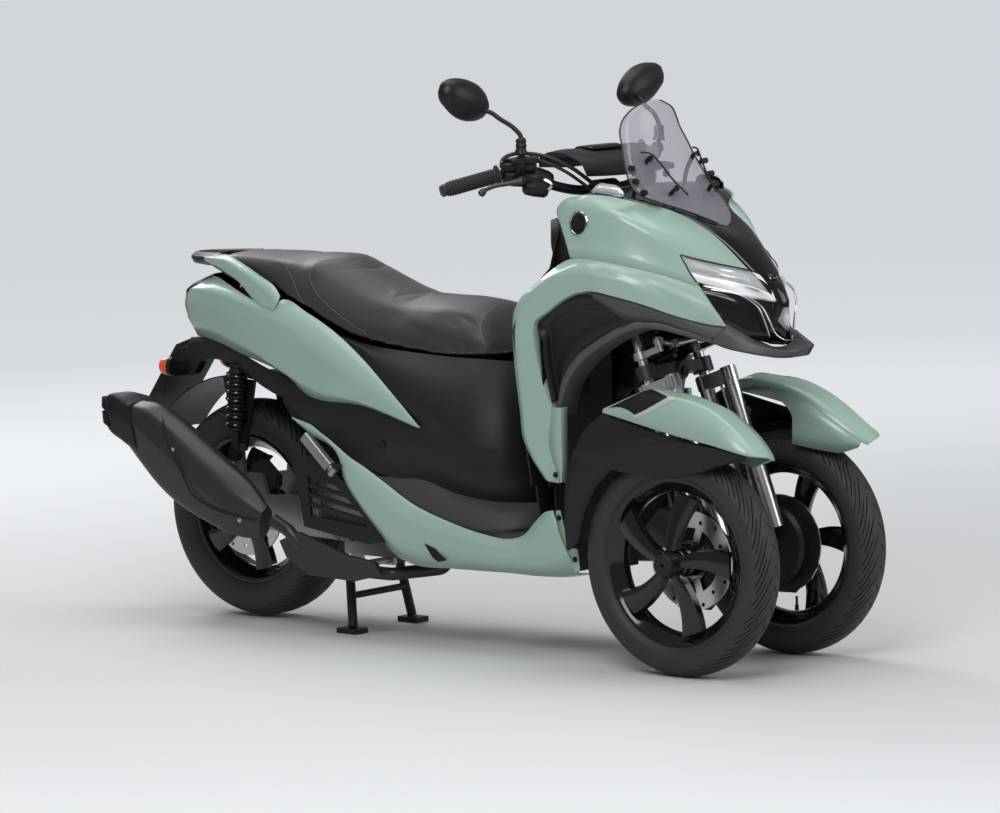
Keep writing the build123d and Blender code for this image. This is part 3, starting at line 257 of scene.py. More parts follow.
def tyre_mesh(tyre_radius, bead_radius, half_width, grooves):
    """Torus whose section is a superellipse |y/a|^2.3 + |r/b|^2.3 = 1. The grid is sheared: its
    columns follow turn = k + sweep x |y/a|^1.6, so a groove is a few columns that sink inwards."""
    middle = (tyre_radius + bead_radius) / 2
    half_height = (tyre_radius - bead_radius) / 2
    phi = np.linspace(-np.pi, np.pi, TYRE_PROFILE_STEPS, endpoint=False)[None, :]
    turn = np.linspace(0, 2 * np.pi, TYRE_STEPS, endpoint=False)[:, None]
    rise = np.sign(np.cos(phi)) * np.abs(np.cos(phi)) ** (2 / SECTION_POWER)
    span = np.sign(np.sin(phi)) * np.abs(np.sin(phi)) ** (2 / SECTION_POWER)
    side = np.where(span > 0, 1.0, -1.0)
    sweep = np.abs(span) ** 1.6 * GROOVE_SWEEP
    phase = turn + side * np.pi / grooves / 2
    pitch = 2 * np.pi / grooves
    along = (np.mod(phase / pitch, 1.0) - 0.5) * pitch * tyre_radius
    long_cut = np.clip(1.6 - np.abs(along) / (GROOVE_WIDTH / 2), 0, 1)
    long_cut = long_cut * (np.abs(span) > 0.10) * (np.abs(span) < 0.86)
    short_along = (np.mod(phase / pitch + 0.5, 1.0) - 0.5) * pitch * tyre_radius
    short_cut = np.clip(1.6 - np.abs(short_along) / (GROOVE_WIDTH / 2.6), 0, 1)
    short_cut = short_cut * (np.abs(span) > 0.50) * (np.abs(span) < 0.93)
    cut = np.clip(long_cut + short_cut, 0, 1) * (rise > 0.02)
    ribs = RIB_HEIGHT * np.clip(np.cos((half_height * rise) / RIB_PITCH * 2 * np.pi), 0, 1)
    ribs = ribs * (rise < 0.1) * (rise > -0.6)
    shrink = GROOVE_DEPTH * cut - ribs
    radius = middle + (half_height - shrink) * rise
    across = (half_width - shrink) * span
    points = ring_about_y(radius, across, turn + sweep)
    return points.reshape(-1, 3), grid_faces(TYRE_STEPS, TYRE_PROFILE_STEPS, True, True)


WHEELS = (
    # label, body, centre, side of the open face
    ("front_right", "front_wheel_right", (0.7475, -0.1925, 0.250), -1),
    ("front_left", "front_wheel_left", (0.7475, 0.1925, 0.250), 1),
    ("rear", "rear_wheel", (-0.6625, 0.0, 0.259), -1),
)
TYRES = (
    # node of the plain solid, tyre radius, bead radius, half width, grooves
    ("front_tyre_right", 0.2498, 0.178, 0.0445, 34),
    ("front_tyre_left", 0.2498, 0.178, 0.0445, 34),
    ("rear_tyre", 0.2558, 0.165, 0.0665, 32),
)
for (label, body, centre, _), (cad_name, *measures) in zip(WHEELS, TYRES):
    points, faces = tyre_mesh(*measures)
    tyre = smooth_mesh(f"{label}_tyre_treaded", points + np.array(centre), faces, tread_rubber, 40)
    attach(tyre, body)
    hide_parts(cad_name)


# Rims: cast alloy in gloss black. A turned barrel with rolled flanges, a stepped hub, and five
# broad blades, each a shallow channel between two thin ribs that sweeps round towards the rim.
RIM_STEPS = 160
BLADES = 5
BLADE_STEPS = 25
FIRST_BLADE = 0.1
OTHER_SIDE = np.array([1, -1, 1])


def turned(profile, steps=RIM_STEPS):
    """Closed profile of (radius, across) pairs turned about Y."""
    profile = np.array(profile)
    turn = np.linspace(0, 2 * np.pi, steps, endpoint=False)[:, None]
    points = ring_about_y(profile[None, :, 0], profile[None, :, 1], turn)
    return points.reshape(-1, 3), grid_faces(steps, len(profile), True, True)


def rounded_profile(corners, radius):
    """Closed outline whose corners are cut by arcs: quadratic curves that leave and meet the
    sides at the given distance, or a third of the side where that is shorter."""
    corners = np.array(corners, float)
    before, after = np.roll(corners, 1, axis=0), np.roll(corners, -1, axis=0)
    to_before, to_after = before - corners, after - corners
    reach_before = np.minimum(radius, np.linalg.norm(to_before, axis=1) / 3)[:, None]
    reach_after = np.minimum(radius, np.linalg.norm(to_after, axis=1) / 3)[:, None]
    start = corners + to_before / np.linalg.norm(to_before, axis=1)[:, None] * reach_before
    finish_at = corners + to_after / np.linalg.norm(to_after, axis=1)[:, None] * reach_after
    t = np.linspace(0, 1, 4)[None, :, None]
    curve = (1 - t) ** 2 * start[:, None] + 2 * t * (1 - t) * corners[:, None] + t ** 2 * finish_at[:, None]
    return curve.reshape(-1, corners.shape[1])


def blade(root, tip, root_half, tip_half, y_root, y_tip, depth, swirl):
    """One hollow-faced blade: a U-shaped section carried from the hub radius to the rim radius.
    Its turn angle grows as swirl x t^1.5 and its width and face run linearly with t."""
    t = np.linspace(0, 1, BLADE_STEPS)[:, None]
    radius = root + (tip - root) * t
    half = root_half + (tip_half - root_half) * t
    face = y_root + (y_tip - y_root) * t
    # across the blade (in halves), and depth below the face (in depths)
    section = np.array([(-1.0, 0.0), (-0.97, -0.06), (-0.80, -0.05), (-0.70, 0.45), (-0.35, 0.66),
                        (0.0, 0.72), (0.35, 0.66), (0.70, 0.45), (0.80, -0.05), (0.97, -0.06), (1.0, 0.0),
                        (0.86, 1.0), (0.4, 1.22), (-0.4, 1.22),
                        (-0.86, 1.0)])
    across = section[None, :, 0] * half
    y = face - section[None, :, 1] * depth * (1 - 0.25 * t)
    angle = swirl * t ** 1.5 + across / radius
    points = np.stack([radius * np.sin(angle), y, radius * np.cos(angle)], axis=-1)
    return points.reshape(-1, 3), grid_faces(BLADE_STEPS, len(section), False, True)


def turned_about_y(points, angle):
    """Points turned by an angle about Y."""
    c, s = np.cos(angle), np.sin(angle)
    return points @ np.array([[c, 0, -s], [0, 1, 0], [s, 0, c]])


def joined(parts):
    """Points and faces of several meshes put together."""
    offsets = np.cumsum([0] + [len(points) for points, _ in parts[:-1]])
    points = np.concatenate([points for points, _ in parts])
    faces = np.concatenate([faces + offset for (_, faces), offset in zip(parts, offsets)])
    return points, faces


def facing_side(points, faces, side):
    """A mesh made with its outer side to -Y, turned over for a wheel that faces +Y."""
    return (points * OTHER_SIDE, faces[:, ::-1]) if side > 0 else (points, faces)


RIMS = (
    # node of the plain solid, bead radius, half the seat's width, half the hub's width, reach of the cap
    ("front_rim_right", 0.178, 0.027, 0.030, 0.044),
    ("front_rim_left", 0.178, 0.027, 0.030, 0.044),
    ("rear_rim", 0.165, 0.044, 0.052, 0.004),
)
for (label, body, centre, face_side), (cad_name, bead_radius, seat, hub_half, reach) in zip(WHEELS, RIMS):
    flange = bead_radius + 0.0125
    well = bead_radius - 0.016
    barrel = rounded_profile([
        (flange, -seat - 0.0045), (flange + 0.0005, -seat), (bead_radius - 0.001, -seat + 0.0015),
        (bead_radius - 0.001, -0.55 * seat), (well, -0.28 * seat), (well, 0.28 * seat),
        (bead_radius - 0.001, 0.55 * seat), (bead_radius - 0.001, seat - 0.0015), (flange + 0.0005, seat),
        (flange, seat + 0.0045), (flange - 0.010, seat + 0.004), (bead_radius - 0.010, 0.72 * seat),
        (well - 0.007, 0.34 * seat), (well - 0.007, -0.34 * seat), (bead_radius - 0.010, -0.72 * seat),
        (flange - 0.010, -seat - 0.004)], 0.0030)
    hub = rounded_profile([
        (0.006, -hub_half - 0.004), (0.034, -hub_half - 0.004), (0.040, -hub_half + 0.008),
        (0.040, hub_half - 0.004), (0.030, hub_half), (0.006, hub_half)], 0.0030)
    spokes = []
    for index in range(BLADES):
        points, faces = blade(0.034, well - 0.003, 0.0150, 0.0330, -hub_half - 0.002,
                              -seat * 0.92, 0.017, 0.20)
        spokes.append((turned_about_y(points, index * 2 * np.pi / BLADES + FIRST_BLADE), faces))
    points, faces = facing_side(*joined([turned(barrel), turned(hub, 96)] + spokes), face_side)
    rim = smooth_mesh(f"{label}_rim_cast", points + np.array(centre), faces, gloss_black, 32)
    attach(rim, body)
    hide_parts(cad_name)
    # Matt cap over the axle end, and the valve stem in the well.
    cap = rounded_profile([(0.004, -hub_half - reach), (0.023, -hub_half - reach),
                           (0.027, -hub_half - reach + 0.006),
                           (0.0285, -hub_half + 0.002), (0.004, -hub_half + 0.002)], 0.003)
    stem = rounded_profile([(0.0005, 0.0), (0.0045, 0.0), (0.0045, 0.010), (0.0028, 0.014), (0.0028, 0.032),
                            (0.0005, 0.032)], 0.0008)
    stem_points, stem_faces = turned(stem, 20)
    stem_points = stem_points[:, [0, 2, 1]] + np.array([0.012, -0.006, 0.008 - well])
    points, faces = facing_side(*joined([turned(cap, 64), (stem_points, stem_faces)]), face_side)
    trim = smooth_mesh(f"{label}_hub_cap_and_valve", points + np.array(centre), faces, grained_plastic, 32)
    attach(trim, body)


# Fairing shells: moulded plastic panels 3 mm thick, clipped to the frame. Each one is carried
# through a few long lines of the body, given in millimetres as x, distance from the middle and
# height. A line with little softness is a crease. Both sides are one mesh with its mirror image.
def evenly(line, count):
    """The line's named points joined by cubic pieces whose slope at a point is that between its
    neighbours, then taken again at even steps of length."""
    line = np.array(line, float)
    reach = np.concatenate([[0], np.cumsum(np.linalg.norm(np.diff(line, axis=0), axis=1))])
    slope = np.gradient(line, reach, axis=0) if len(line) > 2 else np.repeat(
        (line[1:] - line[:1]) / reach[-1], 2, axis=0)
    t = np.linspace(0, reach[-1], 12 * len(line))
    index = np.clip(np.searchsorted(reach, t, side="right") - 1, 0, len(line) - 2)
    length = (reach[index + 1] - reach[index])[:, None]
    u = ((t - reach[index])[:, None]) / length
    curve = ((2 * u ** 3 - 3 * u ** 2 + 1) * line[index] + (u ** 3 - 2 * u ** 2 + u) * length * slope[index]
             + (3 * u ** 2 - 2 * u ** 3) * line[index + 1] + (u ** 3 - u ** 2) * length * slope[index + 1])
    travelled = np.concatenate([[0], np.cumsum(np.linalg.norm(np.diff(curve, axis=0), axis=1))])
    wanted = np.linspace(0, travelled[-1], count)
    return np.stack([np.interp(wanted, travelled, curve[:, axis]) for axis in range(3)], axis=1)


def skin(lines, softness, columns=72):
    """Sheet across the lines. Between two lines it is straight; at a line it turns on a quadratic
    curve that starts and ends at softness x half the gap to the next line on either side."""
    rows = np.stack([evenly(line, columns) for line in lines])
    sheet = [rows[:1]]
    t = np.linspace(0, 1, 7)[:, None, None]
    for index in range(1, len(rows) - 1):
        soft = softness[index - 1] / 2
        start = rows[index] + (rows[index - 1] - rows[index]) * soft
        end = rows[index] + (rows[index + 1] - rows[index]) * soft
        sheet.append((1 - t) ** 2 * start + 2 * t * (1 - t) * rows[index] + t ** 2 * end)
    sheet.append(rows[-1:])
    points = np.concatenate(sheet)
    return points.reshape(-1, 3) / 1000, grid_faces(len(points), columns)


def facing(points, faces, outward):
    """Faces turned over if most of their area looks away from the outward direction."""
    a, b, c, d = (points[faces[:, corner]] for corner in range(4))
    total = np.cross(c - a, d - b).sum(axis=0)
    return faces if total @ np.array(outward, float) > 0 else faces[:, ::-1]


MIDDLE = 0.0002


def close_middle(mesh):
    """The two sides meet at the middle plane: points in the same place there become one."""
    work = bmesh.new()
    work.from_mesh(mesh)
    middle = [vertex for vertex in work.verts if abs(vertex.co.y) < MIDDLE]
    bmesh.ops.remove_doubles(work, verts=middle, dist=MIDDLE)
    work.to_mesh(mesh)
    work.free()


SHARP = 35.0


def shell(name, lines, softness, material, cad, bodies=("chassis",), outward=(0.2, -1, 0.2), wall=0.003,
          columns=72):
    """A pair of panels with their wall. Given one body they are one piece; given two, right then
    left, each side is a piece of its own. cad names the nodes they stand for, side by side."""
    points, faces = skin(lines, softness, columns)
    mirrored = points * OTHER_SIDE
    faces = facing(mirrored, faces, outward)
    sides = [(mirrored, faces), (points, faces[:, ::-1])]
    if len(bodies) == 1:
        sides = [joined(sides)]
    for index, (side, body) in enumerate(zip(sides, bodies)):
        label = name if len(bodies) == 1 else f"{name}_{('right', 'left')[index]}"
        piece = smooth_mesh(label, *side, material, SHARP)
        if len(bodies) == 1:
            close_middle(piece.data)
        thick = piece.modifiers.new("wall", "SOLIDIFY")
        thick.thickness = wall
        thick.offset = -1
        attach(piece, body)
        if cad:
            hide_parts(cad[index])


# Side cowl, body coloured: the upper face falls to the headlight, the hollow flank carries a
# plain round badge, and a flared band runs over the wheel arch and down the edge of the leg shield.
COWL_TOP = [(421, 200, 1014), (440, 199, 1030), (482, 199, 1040), (538, 195, 1043), (626, 166, 1026),
            (666, 101, 1005), (748, 73, 958), (833, 47, 876)]
COWL_CREASE = [(420, 203, 1003), (460, 209, 1014), (518, 212, 1017), (597, 210, 1003), (650, 188, 973),
               (719, 140, 913)]
COWL_FLANK = [(450, 214, 950), (520, 219, 950), (597, 217, 944), (666, 183, 917), (737, 132, 879)]
BAND_TOP = [(477, 228, 905), (520, 232, 906), (571, 235, 902), (656, 202, 884), (717, 154, 861),
            (756, 125, 845)]
shell("side_cowl_flank", [COWL_TOP, COWL_CREASE, COWL_FLANK, BAND_TOP], [0.35, 1.0], mint_paint,
      ["side_cowls"])
BAND_OUTER = [(389, 222, 410), (352, 226, 460), (334, 229, 497), (328, 232, 560), (319, 236, 660),
              (317, 238, 735), (322, 239, 780), (345, 240, 815), (376, 240, 838), (420, 238, 871),
              (477, 230, 903)] + BAND_TOP[1:]
BAND_RIDGE = [(402, 226, 408), (368, 231, 460), (353, 234, 497), (347, 238, 560), (338, 242, 660),
              (335, 244, 735), (341, 245, 775), (362, 246, 806), (395, 247, 832), (440, 248, 860),
              (495, 249, 873), (570, 248, 873), (642, 222, 855), (703, 171, 822), (804, 108, 771)]
BAND_INNER = [(427, 224, 406), (428, 226, 440), (429, 228, 480), (414, 231, 575), (392, 234, 640),
              (378, 236, 700), (374, 237, 735), (376, 238, 755), (420, 241, 787), (470, 243, 818),
              (500, 243, 830), (540, 243, 837), (597, 236, 828), (654, 208, 811), (716, 160, 783),
              (778, 119, 764), (809, 106, 760)]
BAND_RETURN = [(432, 206, 406), (434, 207, 480), (420, 210, 580), (386, 214, 700), (384, 216, 752),
               (425, 218, 782), (502, 220, 822), (540, 220, 828), (656, 189, 803), (720, 147, 776),
               (778, 112, 759), (806, 100, 757)]
shell("side_cowl_band", [BAND_OUTER, BAND_RIDGE, BAND_INNER, BAND_RETURN], [0.5, 0.06], mint_paint,
      None, columns=120)
shell("leg_shield_front_strip", [[(406, 229, 574), (404, 230, 500), (418, 226, 440), (427, 222, 408)],
                                 [(446, 233, 575), (446, 234, 500), (444, 230, 440), (436, 224, 408)],
                                 [(449, 214, 575), (449, 214, 500), (447, 210, 440), (440, 206, 408)]],
      [0.1], mint_paint, None, columns=30)

# Dark inner arch: a sunk panel inside the band, a rolled lip round the opening for the wheel,
# and a grey brow that starts as a point under the band and widens to meet the chin.
shell("arch_recess", [
    [(420, 230, 586), (404, 236, 690), (402, 236, 728), (386, 233, 752), (424, 234, 782), (500, 234, 822),
     (545, 230, 826), (597, 218, 812), (637, 196, 790)],
    [(424, 212, 590), (406, 212, 690), (405, 213, 728), (404, 213, 744), (432, 214, 768), (500, 212, 798),
     (545, 208, 800), (588, 202, 792), (630, 190, 781)],
    [(429, 212, 596), (424, 210, 660), (440, 208, 706), (474, 206, 738), (520, 204, 762), (560, 202, 774),
     (598, 198, 779), (627, 190, 777)],
    [(430, 219, 598), (452, 216, 648), (486, 213, 690), (530, 209, 722), (572, 205, 744), (601, 199, 758),
     (619, 193, 767), (630, 190, 773)]], [0.3, 0.5], satin_black, ["arch_panels"])
LIP_INNER = [(424, 223, 560), (444, 221, 640), (482, 217, 690), (528, 212, 722), (572, 207, 747),
             (607, 197, 763), (638, 185, 770), (668, 169, 767), (718, 143, 751), (779, 119, 730)]
LIP_EDGE = [(430, 221, 556), (454, 218, 628), (492, 213, 676), (536, 207, 708), (579, 201, 732),
            (612, 190, 747), (640, 178, 753), (670, 162, 750), (719, 137, 736), (781, 113, 720)]
LIP_BACK = [(438, 172, 552), (462, 170, 624), (500, 166, 670), (542, 162, 702), (583, 157, 726),
            (615, 149, 741), (644, 140, 748), (675, 128, 744), (727, 111, 732), (785, 93, 718)]
grey_plastic = finish("grey_plastic", (0.062, 0.061, 0.063), 0.50, depth=0.00012, grain=800,
                      slot="satin_black")
shell("arch_lip", [LIP_INNER, LIP_EDGE, LIP_BACK], [0.45], grey_plastic, None)
shell("arch_brow", [
    [(524, 233, 831), (570, 233, 829), (614, 222, 819), (655, 200, 805), (716, 154, 778), (775, 118, 761),
     (806, 104, 759)],
    [(526, 230, 827), (572, 226, 817), (614, 212, 802), (659, 188, 789), (718, 150, 769), (778, 120, 748),
     (804, 109, 745)],
    [(528, 226, 823), (568, 214, 798), (602, 200, 774), (638, 186, 769), (668, 169, 766), (717, 143, 750),
     (778, 119, 729)]], [0.8], grey_plastic, None)

# Black wedges of grained plastic, clipped behind the cowl's rear edge. They close the gap to the
# dash.
shell("dash_wedge", [[(398, 196, 984), (418, 200, 990)], [(400, 200, 930), (450, 212, 945)],
                     [(424, 212, 876), (478, 222, 903)]], [0.4], grained_plastic, None, columns=12)

# Centre cowl: one gloss black moulding clipped between the side cowls. It falls from the dash under
# the windscreen down between the headlights.
shell("centre_cowl_skin", [
    [(438, 197, 1024), (482, 197, 1036), (538, 192, 1040), (626, 163, 1023), (667, 99, 1002),
     (749, 71, 955), (834, 45, 873)],
    [(452, 184, 1034), (496, 180, 1046), (550, 170, 1046), (630, 143, 1026), (676, 86, 1002),
     (760, 60, 954), (846, 36, 872)],
    [(480, 110, 1044), (515, 105, 1052), (565, 98, 1048), (638, 74, 1016), (700, 48, 988),
     (782, 34, 944), (862, 20, 866)],
    [(490, 0, 1046), (522, 0, 1056), (570, 0, 1050), (640, 0, 1014), (708, 0, 980),
     (792, 0, 938), (868, 0, 862)]], [0.4, 0.9], gloss_black, ["centre_cowl"], outward=(0.3, -0.3, 1))

# Nose between and below the headlights: a gloss black mask with a flank on each side, and two thin
# bright lines that curve from under the lens down to the chin.
shell("nose_mask", [
    [(834, 47, 873), (850, 36, 863), (864, 19, 858), (868, 0, 858)],
    [(857, 36, 845), (873, 23, 839), (882, 12, 836), (884, 0, 836)],
    [(879, 25, 808), (890, 18, 808), (895, 9, 809), (896, 0, 811)],
    [(871, 32, 768), (882, 22, 767), (894, 10, 767), (897, 0, 770)],
    [(870, 29, 717), (882, 20, 716), (901, 10, 716), (908, 0, 722)]], [0.8, 0.3, 0.5], gloss_black, None,
    outward=(1, -0.3, 0.2))
FLANK_TOP = [(756, 124, 843), (786, 108, 840), (833, 81, 822), (880, 25, 807)]
FLANK_LOW = [(807, 105, 761), (824, 94, 752), (846, 82, 739), (870, 29, 718)]
shell("nose_flank", [FLANK_TOP, [(778, 110, 805), (806, 97, 794), (840, 75, 777), (871, 28, 764)],
                     FLANK_LOW], [0.9], gloss_black, ["headlights"], outward=(1, -0.8, 0))


def tube_along(line, radius, columns=48, sides=10):
    """Round bar along a line in millimetres: circles square to the line's direction, the
    first and last of them shrunk to a fiftieth."""
    path = evenly(line, columns) / 1000
    ahead = np.gradient(path, axis=0)
    ahead /= np.linalg.norm(ahead, axis=1)[:, None]
    seed = np.array([0.0, 0.0, 1.0]) if abs(ahead[:, 2]).mean() < 0.8 else np.array([1.0, 0.0, 0.0])
    side = np.cross(ahead, seed)
    side /= np.linalg.norm(side, axis=1)[:, None]
    over = np.cross(side, ahead)
    turn = np.linspace(0, 2 * np.pi, sides, endpoint=False)[None, :, None]
    width = np.broadcast_to(np.array(radius, float) / 1000, (columns,))[:, None, None]
    width = width * np.concatenate([[0.02], np.ones(columns - 2), [0.02]])[:, None, None]
    points = path[:, None] + width * (np.cos(turn) * side[:, None] + np.sin(turn) * over[:, None])
    return points.reshape(-1, 3), grid_faces(columns, sides, False, True)[:, ::-1]


def fitting(name, parts, material, body="chassis", mirrored=True, cad=()):
    """Several meshes of one body as one piece, with a mirror image if it has a twin."""
    points, faces = joined(parts)
    if mirrored:
        points, faces = joined([(points, faces[:, ::-1]), (points * OTHER_SIDE, faces)])
    piece = smooth_mesh(name, points, faces, material, SHARP)
    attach(piece, body)
    if cad:
        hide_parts(*cad)


BRIGHT_LINES = (
    [(770, 135, 849), (810, 112, 839), (850, 88, 823), (870, 68, 800), (876, 52, 766), (880, 40, 732)],
    [(787, 130, 841), (828, 100, 832), (858, 78, 820), (874, 62, 802), (883, 46, 770), (890, 30, 738),
     (898, 15, 727), (909, 0, 724)],
)
fitting("nose_bright_lines", [tube_along(line, 1.8) for line in BRIGHT_LINES], bare_steel)


# Mudguards, one over each front wheel, bolted to its fork. The body-coloured top has a crease that
# runs out to the tip; below it a black guard with a wing-like fold goes down behind the tyre.
FORKS = ("wheel_fork_right", "wheel_fork_left")
GUARD_SIDE = [(577, 250, 573), (638, 255, 563), (690, 257, 553), (791, 257, 534), (880, 256, 520),
              (925, 252, 511), (953, 244, 504), (968, 233, 499)]
GUARD_CREASE = [(577, 249, 577), (640, 240, 600), (700, 232, 611), (761, 224, 613), (846, 214, 590),
                (899, 214, 561), (940, 215, 531), (966, 217, 510), (979, 220, 497)]
GUARD_RIDGE = [(576, 246, 582), (619, 215, 606), (664, 190, 626), (729, 178, 622), (789, 174, 612),
               (851, 173, 590), (908, 175, 557), (950, 180, 526), (976, 188, 504), (986, 194, 493)]
GUARD_INNER = [(584, 200, 590), (625, 150, 606), (664, 134, 611), (729, 128, 604), (789, 127, 595),
               (851, 129, 574), (908, 135, 541), (948, 145, 512), (974, 158, 492), (985, 168, 484)]
GUARD_TOP = [GUARD_SIDE, GUARD_CREASE, GUARD_RIDGE, GUARD_INNER]
GUARD_SOFTNESS = [0.22, 0.75]
shell("mudguard_top", GUARD_TOP, GUARD_SOFTNESS, mint_paint, ["mudguard_right", "mudguard_left"], FORKS,
      outward=(0.3, -0.5, 1), columns=96)
shell("mudguard_inner_side", [
    [(744, 127, 601), (789, 126, 593), (851, 128, 572), (908, 135, 539), (948, 144, 510), (973, 157, 490)],
    [(812, 124, 548), (851, 125, 534), (900, 131, 512), (940, 143, 490), (968, 160, 480)],
    [(806, 128, 479), (840, 131, 474), (880, 142, 467), (918, 156, 463), (955, 172, 474)]],
      [0.5], mint_paint, None, FORKS, outward=(0, 1, 0.1))
GUARD_UNDER = [(577, 248, 570), (684, 250, 547), (785, 250, 528), (885, 248, 514), (925, 246, 506),
               (958, 236, 497)]
GUARD_FOLD = [(497, 253, 483), (560, 260, 494), (603, 262, 501), (669, 265, 511), (733, 265, 518),
              (826, 263, 519), (891, 258, 513), (930, 251, 505), (960, 238, 496)]
shell("mudguard_fold", [
    GUARD_UNDER,
    [(527, 246, 537), (603, 252, 528), (669, 253, 527), (740, 254, 523), (826, 254, 519), (885, 252, 511),
     (930, 246, 503), (958, 236, 496)],
    GUARD_FOLD,
    [(497, 254, 470), (547, 258, 461), (600, 260, 452), (664, 260, 444), (715, 260, 440), (766, 260, 443),
     (803, 259, 448), (851, 255, 460), (890, 252, 474), (930, 246, 486), (960, 236, 493)],
    [(503, 238, 468), (600, 240, 450), (715, 240, 438), (803, 240, 446), (851, 238, 458), (890, 236, 472),
     (952, 226, 489)]], [0.8, 0.12, 0.12], grained_plastic, None, FORKS, columns=96)
GUARD_REAR = [(577, 247, 572), (527, 246, 537), (493, 248, 488), (472, 248, 428), (463, 247, 356),
              (462, 247, 310), (465, 246, 264)]
shell("mudguard_rear", [
    GUARD_REAR,
    [(588, 215, 590), (528, 210, 550), (485, 208, 497), (462, 206, 430), (452, 205, 356), (451, 205, 310),
     (456, 205, 262)],
    [(590, 165, 590), (530, 165, 550), (486, 165, 497), (463, 165, 430), (453, 165, 356), (452, 165, 310),
     (457, 165, 262)],
    [(600, 137, 585), (534, 136, 545), (494, 136, 492), (472, 136, 428), (462, 136, 356), (461, 136, 310),
     (466, 136, 264)]], [0.4, 0.6], grained_plastic, None, FORKS, outward=(-1, 0, 0.3))
shell("mudguard_rear_side", [
    [(608, 258, 452), (580, 257, 428), (556, 255, 404), (534, 253, 372), (518, 251, 340), (508, 250, 310),
     (502, 249, 288), (474, 247, 262)],
    [(552, 260, 462), (520, 258, 430), (500, 256, 400), (486, 254, 356), (482, 252, 320), (480, 250, 288),
     (468, 248, 263)],
    [(495, 251, 486), (479, 250, 450), (470, 249, 420), (463, 248, 356), (462, 247, 310), (464, 246, 290),
     (465, 246, 264)]], [0.5], grained_plastic, None, FORKS, columns=48)


PATCH_OUTWARD = (0.1, -0.6, 1)


def on_skin(lines, softness, corners, lift):
    """Patch that lies on a skin: a four-cornered grid in shares along and across it, raised along
    the skin's own normal by lift in metres. Corners go round as (along, across) pairs."""
    columns, steps = 160, 24
    points, _ = skin(lines, softness, columns)
    surface = points.reshape(-1, columns, 3) * OTHER_SIDE
    s = np.linspace(0, 1, steps)[:, None, None]
    t = np.linspace(0, 1, steps)[None, :, None]
    a, b, c, d = np.array(corners, float)
    share = (1 - s) * ((1 - t) * a + t * b) + s * ((1 - t) * d + t * c)
    run = np.cumsum(np.linalg.norm(np.diff(surface, axis=0), axis=2).mean(axis=1))
    run = np.append(0, run) / run[-1]
    place = np.stack([share[..., 0] * (columns - 1.001),
                      np.interp(share[..., 1], run, np.arange(len(run))).clip(0, len(run) - 1.001)], axis=2)
    column, row = place[..., 0].astype(int), place[..., 1].astype(int)
    right, down = place[..., :1] - column[..., None], place[..., 1:] - row[..., None]
    upper = surface[row, column] * (1 - right) + surface[row, column + 1] * right
    lower = surface[row + 1, column] * (1 - right) + surface[row + 1, column + 1] * right
    patch = upper * (1 - down) + lower * down
    normal = np.cross(np.gradient(patch, axis=1), np.gradient(patch, axis=0))
    normal /= np.linalg.norm(normal, axis=2)[:, :, None] + 1e-12
    if (normal * np.array(PATCH_OUTWARD)).sum() < 0:
        normal = -normal
    return (patch + normal * lift).reshape(-1, 3), grid_faces(steps, steps)


# A dark film patch with a thin silver edge, stuck to the rear of each mudguard's top. It follows
# the painted skin and stands less than 2 mm off it.
silver_film = finish("silver_film", (0.52, 0.55, 0.55), 0.35, metal=0.3, depth=0.0, drift=0.02,
                     slot="bare_steel")
for label, corners, lift, material in (
        ("edge", [(0.0, 0.41), (0.24, 0.70), (0.435, 0.38), (0.235, 0.08)], 0.0008, silver_film),
        ("face", [(0.04, 0.38), (0.243, 0.63), (0.385, 0.39), (0.225, 0.12)], 0.0014, satin_black)):
    points, faces = on_skin(GUARD_TOP, GUARD_SOFTNESS, corners, lift)
    outward_faces = facing(points, faces, PATCH_OUTWARD)
    for side, body in zip(("right", "left"), FORKS):
        mirrored = side == "left"
        piece = smooth_mesh(f"mudguard_patch_{label}_{side}", points * OTHER_SIDE if mirrored else points,
                            outward_faces[:, ::-1] if mirrored else outward_faces, material)
        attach(piece, body)


# Tail cowls, body coloured: an upper face under the grab rail, a side face between two creases and
# a lower face that turns in under the tail. They taper to a point below the rider's seat.
TAIL_TOP = [(-744, 64, 806), (-700, 90, 805), (-652, 110, 793), (-556, 135, 764), (-500, 144, 750),
            (-458, 136, 768), (-381, 146, 744), (-282, 158, 702), (-184, 173, 645), (-87, 188, 574),
            (0, 198, 506)]
TAIL_UPPER = [(-795, 92, 777), (-740, 108, 777), (-655, 128, 769), (-515, 150, 734), (-425, 160, 706),
              (-331, 172, 658), (-214, 184, 600), (-84, 193, 541), (4, 199, 504)]
TAIL_LOWER = [(-795, 96, 701), (-740, 112, 697), (-676, 126, 686), (-566, 148, 653), (-465, 161, 612),
              (-346, 177, 574), (-176, 190, 548), (2, 199, 502)]
TAIL_LOW = [(-776, 86, 665), (-740, 100, 664), (-689, 112, 657), (-600, 129, 635), (-436, 150, 590),
            (-369, 164, 556), (-178, 182, 540), (0, 196, 500)]
shell("tail_cowl_skin",
      [TAIL_TOP, TAIL_UPPER, [(-808, 97, 750), (-740, 114, 742), (-660, 131, 733), (-540, 151, 698),
                              (-440, 162, 662), (-335, 174, 620), (-200, 187, 575), (4, 199, 503)],
       TAIL_LOWER, TAIL_LOW],
      [0.22, 0.9, 0.22], mint_paint, ["tail_cowls"], outward=(0, -1, 0.2), columns=90)
TAIL_END = [[(-744, 62, 804), (-772, 30, 808), (-778, 0, 808)],
            [(-797, 92, 781), (-824, 44, 786), (-830, 0, 787)],
            [(-806, 94, 770), (-834, 46, 772), (-840, 0, 772)],
            [(-810, 97, 738), (-840, 47, 738), (-846, 0, 738)],
            [(-802, 95, 712), (-832, 46, 712), (-838, 0, 712)],
            [(-795, 94, 700), (-826, 46, 699), (-832, 0, 699)],
            [(-776, 88, 665), (-800, 44, 664), (-806, 0, 664)]]
